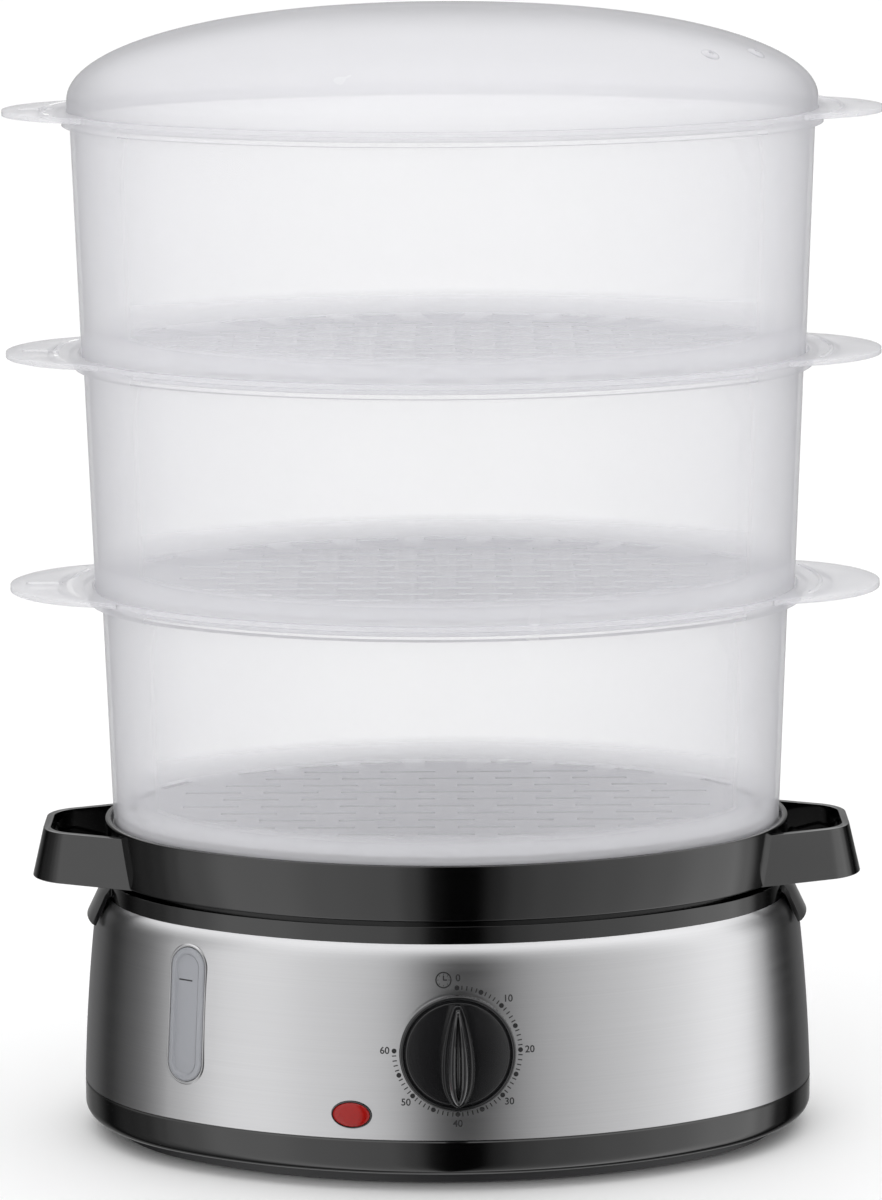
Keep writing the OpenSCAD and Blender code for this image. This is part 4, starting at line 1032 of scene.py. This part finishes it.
class STEAMER_OT_dial(bpy.types.Operator):
    """Print the dial on the band: dots, ticks, numbers and a small clock sign"""
    bl_idname = "steamer.dial"
    bl_label = "Dial print"

    def execute(self, context):
        bm = bmesh.new()
        lift = 0.06 * MM
        radius = sizes().dial_radius
        for minute in range(61):
            turn = pi / 2 - radians(minute * 4.5)
            x, y = cos(turn), sin(turn)
            if minute % 5 == 0:
                bmesh.ops.create_circle(bm, cap_ends=True, segments=20, radius=0.85 * MM,
                                        matrix=at(x * radius, y * radius, lift))
            else:
                dial_bar(bm, (x * (radius + 0.05 * MM), y * (radius + 0.05 * MM)), turn, 1.5 * MM, 0.36 * MM, lift)
        for i in range(7):
            turn = pi / 2 - radians(i * 45)
            dial_number(bm, str(i * 10), 25.2 * MM * cos(turn) + (0.4 * MM if i == 0 else 0),
                        25.2 * MM * sin(turn), lift)
        clock_sign(bm, -4.7 * MM, 24.6 * MM, lift)
        bmesh.ops.triangulate(bm, faces=bm.faces)
        wrap_on_band(bm, KNOB_X, KNOB_Z)
        bm.normal_update()
        mesh = bpy.data.meshes.new("dial_print")
        bm.to_mesh(mesh)
        bm.free()
        dress(show("dial_print", mesh), "base", "black_matte", material="dial_ink")
        return {"FINISHED"}


# Nodes that keep their solid's shape, each with the rounding of its edges in millimetres
KEPT = {
    "water_tub": 0.35, "steam_ring": 0.3, "bottom_cover": 0.3, "rubber_feet": 0.0, "cover_screws": 0.0,
    "window_seal": 0.0, "heater_plate": 0.0, "heater_seal": 0.0, "plate_nuts": 0.0, "heating_element": 0.0,
    "thermostat": 0.0, "thermostat_clip": 0.0, "thermal_fuse": 0.0, "timer_case": 0.2, "timer_bell": 0.0,
    "timer_screws": 0.0, "timer_shaft": 0.0, "neon_lamp": 0.0, "terminal_block": 0.2, "cord_gland": 0.2,
    "inner_leads": 0.0,
}


class STEAMER_OT_kept(bpy.types.Operator):
    """Finish the pieces that keep their solid's shape, with joined faces and smooth shading"""
    bl_idname = "steamer.kept"
    bl_label = "Kept pieces"

    def execute(self, context):
        slots = {row["node"]: row["material_slot"] for row in frame["record"]["subparts"]}
        listed = frame["record"]["behaviour"]["bodies"]
        bodies = {node: body for body, nodes in listed.items() for node in nodes}
        for node, rounding in KEPT.items():
            bm = bmesh.new()
            bm.from_mesh(frame["nodes"][node].data)
            bmesh.ops.remove_doubles(bm, verts=bm.verts, dist=SAME)
            bmesh.ops.dissolve_limit(bm, angle_limit=radians(0.5), verts=bm.verts, edges=bm.edges)
            item = solid(node + "_body", bm)
            if rounding:
                edge = item.modifiers.new("edges", "BEVEL")
                edge.width = rounding * MM
                edge.segments = 2
                edge.limit_method = "ANGLE"
                edge.angle_limit = radians(50)
                edge.use_clamp_overlap = True
            dress(item, bodies[node], slots[node], [node], 30)
        return {"FINISHED"}


# ---------------------------------------------------------------- stage

# Camera: its place in metres, how far it looks down and turns in degrees, and its focal length in picture heights
CAMERA, LOOK_DOWN, LOOK_TURN, FOCAL = (-0.00145, -1.943, 0.5282), 9.89, -0.33, 5568 / 1200
# Light of the tent overhead, and how much lower it hangs at the back
TENT, TENT_BACK = 1.5, 0.32
# Light of the screens round the object, by the direction in degrees: 0 is the front, 90 the right
SCREENS = ((-180, 0.3), (-145, 0.15), (-124, 0.02), (-104, 0.12), (-92, 0.2), (-81, 0.4), (-71, 0.7), (-60, 1.1),
           (-46, 1.1), (-34, 0.92), (-15, 0.8), (-9, 0.5), (-3, 0.05), (1, 0.004), (8, 0.004), (13, 0.2),
           (19, 0.44), (27, 0.6), (45, 0.8), (60, 1.0), (74, 1.3), (91, 1.25), (103, 0.75), (116, 0.08), (128, 0.01),
           (150, 0.12), (180, 0.3))


def floor_paper():
    material, shader, vector = new_material("floor_paper")
    grain = noise(material, vector, 3.0)
    link(material, tint(material, grain, (0.93, 0.93, 0.93), (0.95, 0.95, 0.95)), shader.inputs["Base Color"])
    link(material, spread(material, grain, 0.75, 0.85), shader.inputs["Roughness"])
    return material


def studio_sky(scene):
    """A white tent overhead, and tall white screens to both sides with dark gaps between them"""
    world = bpy.data.worlds.new("studio")
    world.use_nodes = True
    nodes = world.node_tree.nodes

    def worked_out(operation, *values):
        """A maths node's result from links and numbers"""
        node = nodes.new("ShaderNodeMath")
        node.operation = operation
        for socket, value in zip(node.inputs, values):
            if isinstance(value, float):
                socket.default_value = value
            else:
                link(world, value, socket)
        return node.outputs["Value"]

    way = nodes.new("ShaderNodeSeparateXYZ")
    link(world, nodes.new("ShaderNodeTexCoord").outputs["Generated"], way.inputs["Vector"])
    x, y, z = (way.outputs[axis] for axis in "XYZ")
    turn = worked_out("ARCTAN2", x, worked_out("MULTIPLY", y, -1.0))
    screens = nodes.new("ShaderNodeValToRGB")
    screens.color_ramp.interpolation = "EASE"
    elements = screens.color_ramp.elements
    while len(elements) < len(SCREENS):
        elements.new(0.5)
    for element, (angle, level) in zip(elements, SCREENS):
        element.position = (angle + 180) / 360
        element.color = (level, level, level, 1)
    link(world, spread(world, turn, 0.0, 1.0, -pi, pi), screens.inputs["Fac"])
    above = spread(world, worked_out("MULTIPLY_ADD", y, TENT_BACK, z), 0.0, 1.0, 0.5, 0.85)
    above.node.interpolation_type = "SMOOTHSTEP"
    mix = nodes.new("ShaderNodeMix")
    mix.data_type = "RGBA"
    settle(mix, B=(TENT, TENT, TENT, 1))
    link(world, above, mix.inputs["Factor"])
    link(world, screens.outputs["Color"], mix.inputs["A"])
    link(world, mix.outputs["Result"], nodes["Background"].inputs["Color"])
    settle(nodes["Background"], Strength=1.0)
    scene.world = world


class STEAMER_OT_stage(bpy.types.Operator):
    """Set the camera, the floor and the studio lights"""
    bl_idname = "steamer.stage"
    bl_label = "Studio"

    def execute(self, context):
        scene = context.scene
        camera = bpy.data.cameras.new("camera")
        camera.sensor_fit = "VERTICAL"
        camera.sensor_height = 24
        camera.lens = FOCAL * camera.sensor_height
        camera.clip_end = 100
        view = show("camera", camera)
        view.matrix_world = (at(*CAMERA) @ about("X", radians(90 - LOOK_DOWN))
                             @ about("Z", radians(LOOK_TURN)))
        scene.camera = view
        bm = bmesh.new()
        bmesh.ops.create_grid(bm, x_segments=8, y_segments=8, size=20)
        floor = solid("floor", bm)
        floor.data.materials.append(floor_paper())
        floor.visible_glossy = False
        studio_sky(scene)
        data = bpy.data.lights.new("front_screen", "AREA")
        data.shape = "RECTANGLE"
        data.size, data.size_y = 2.4, 1.6
        data.energy = 19
        light = show("front_screen", data)
        light.location = (-0.4, -2.3, 1.3)
        light.rotation_euler = Vector((0.4, 2.3, -1.1)).to_track_quat("-Z", "Y").to_euler()
        light.visible_glossy = False
        scene.view_settings.view_transform = "Standard"
        return {"FINISHED"}


OPERATORS = (STEAMER_OT_materials, STEAMER_OT_lid, STEAMER_OT_baskets, STEAMER_OT_drip_tray, STEAMER_OT_band,
             STEAMER_OT_housing, STEAMER_OT_window, STEAMER_OT_lamp, STEAMER_OT_knob, STEAMER_OT_dial,
             STEAMER_OT_kept, STEAMER_OT_stage)


class STEAMER_PT_panel(bpy.types.Panel):
    """Lists the steamer's sizes, colours and pieces"""
    bl_idname = "STEAMER_PT_panel"
    bl_label = "Food Steamer"
    bl_space_type = "VIEW_3D"
    bl_region_type = "UI"
    bl_category = "Steamer"

    def draw(self, context):
        layout = self.layout
        for group in (context.scene.steamer_sizes, context.scene.steamer_finishes):
            column = layout.column()
            for name in group.bl_rna.properties.keys():
                if name not in ("rna_type", "name"):
                    column.prop(group, name)
        for operator in OPERATORS:
            layout.operator(operator.bl_idname)


CLASSES = (SteamerSizes, SteamerFinishes, *OPERATORS, STEAMER_PT_panel)


def register():
    for cls in CLASSES:
        bpy.utils.register_class(cls)
    bpy.types.Scene.steamer_sizes = PointerProperty(type=SteamerSizes)
    bpy.types.Scene.steamer_finishes = PointerProperty(type=SteamerFinishes)


def unregister():
    del bpy.types.Scene.steamer_finishes
    del bpy.types.Scene.steamer_sizes
    for cls in reversed(CLASSES):
        bpy.utils.unregister_class(cls)


def main():
    register()
    for operator in OPERATORS:
        group, name = operator.bl_idname.split(".")
        getattr(getattr(bpy.ops, group), name)()


if __name__ == "__main__":
    main()
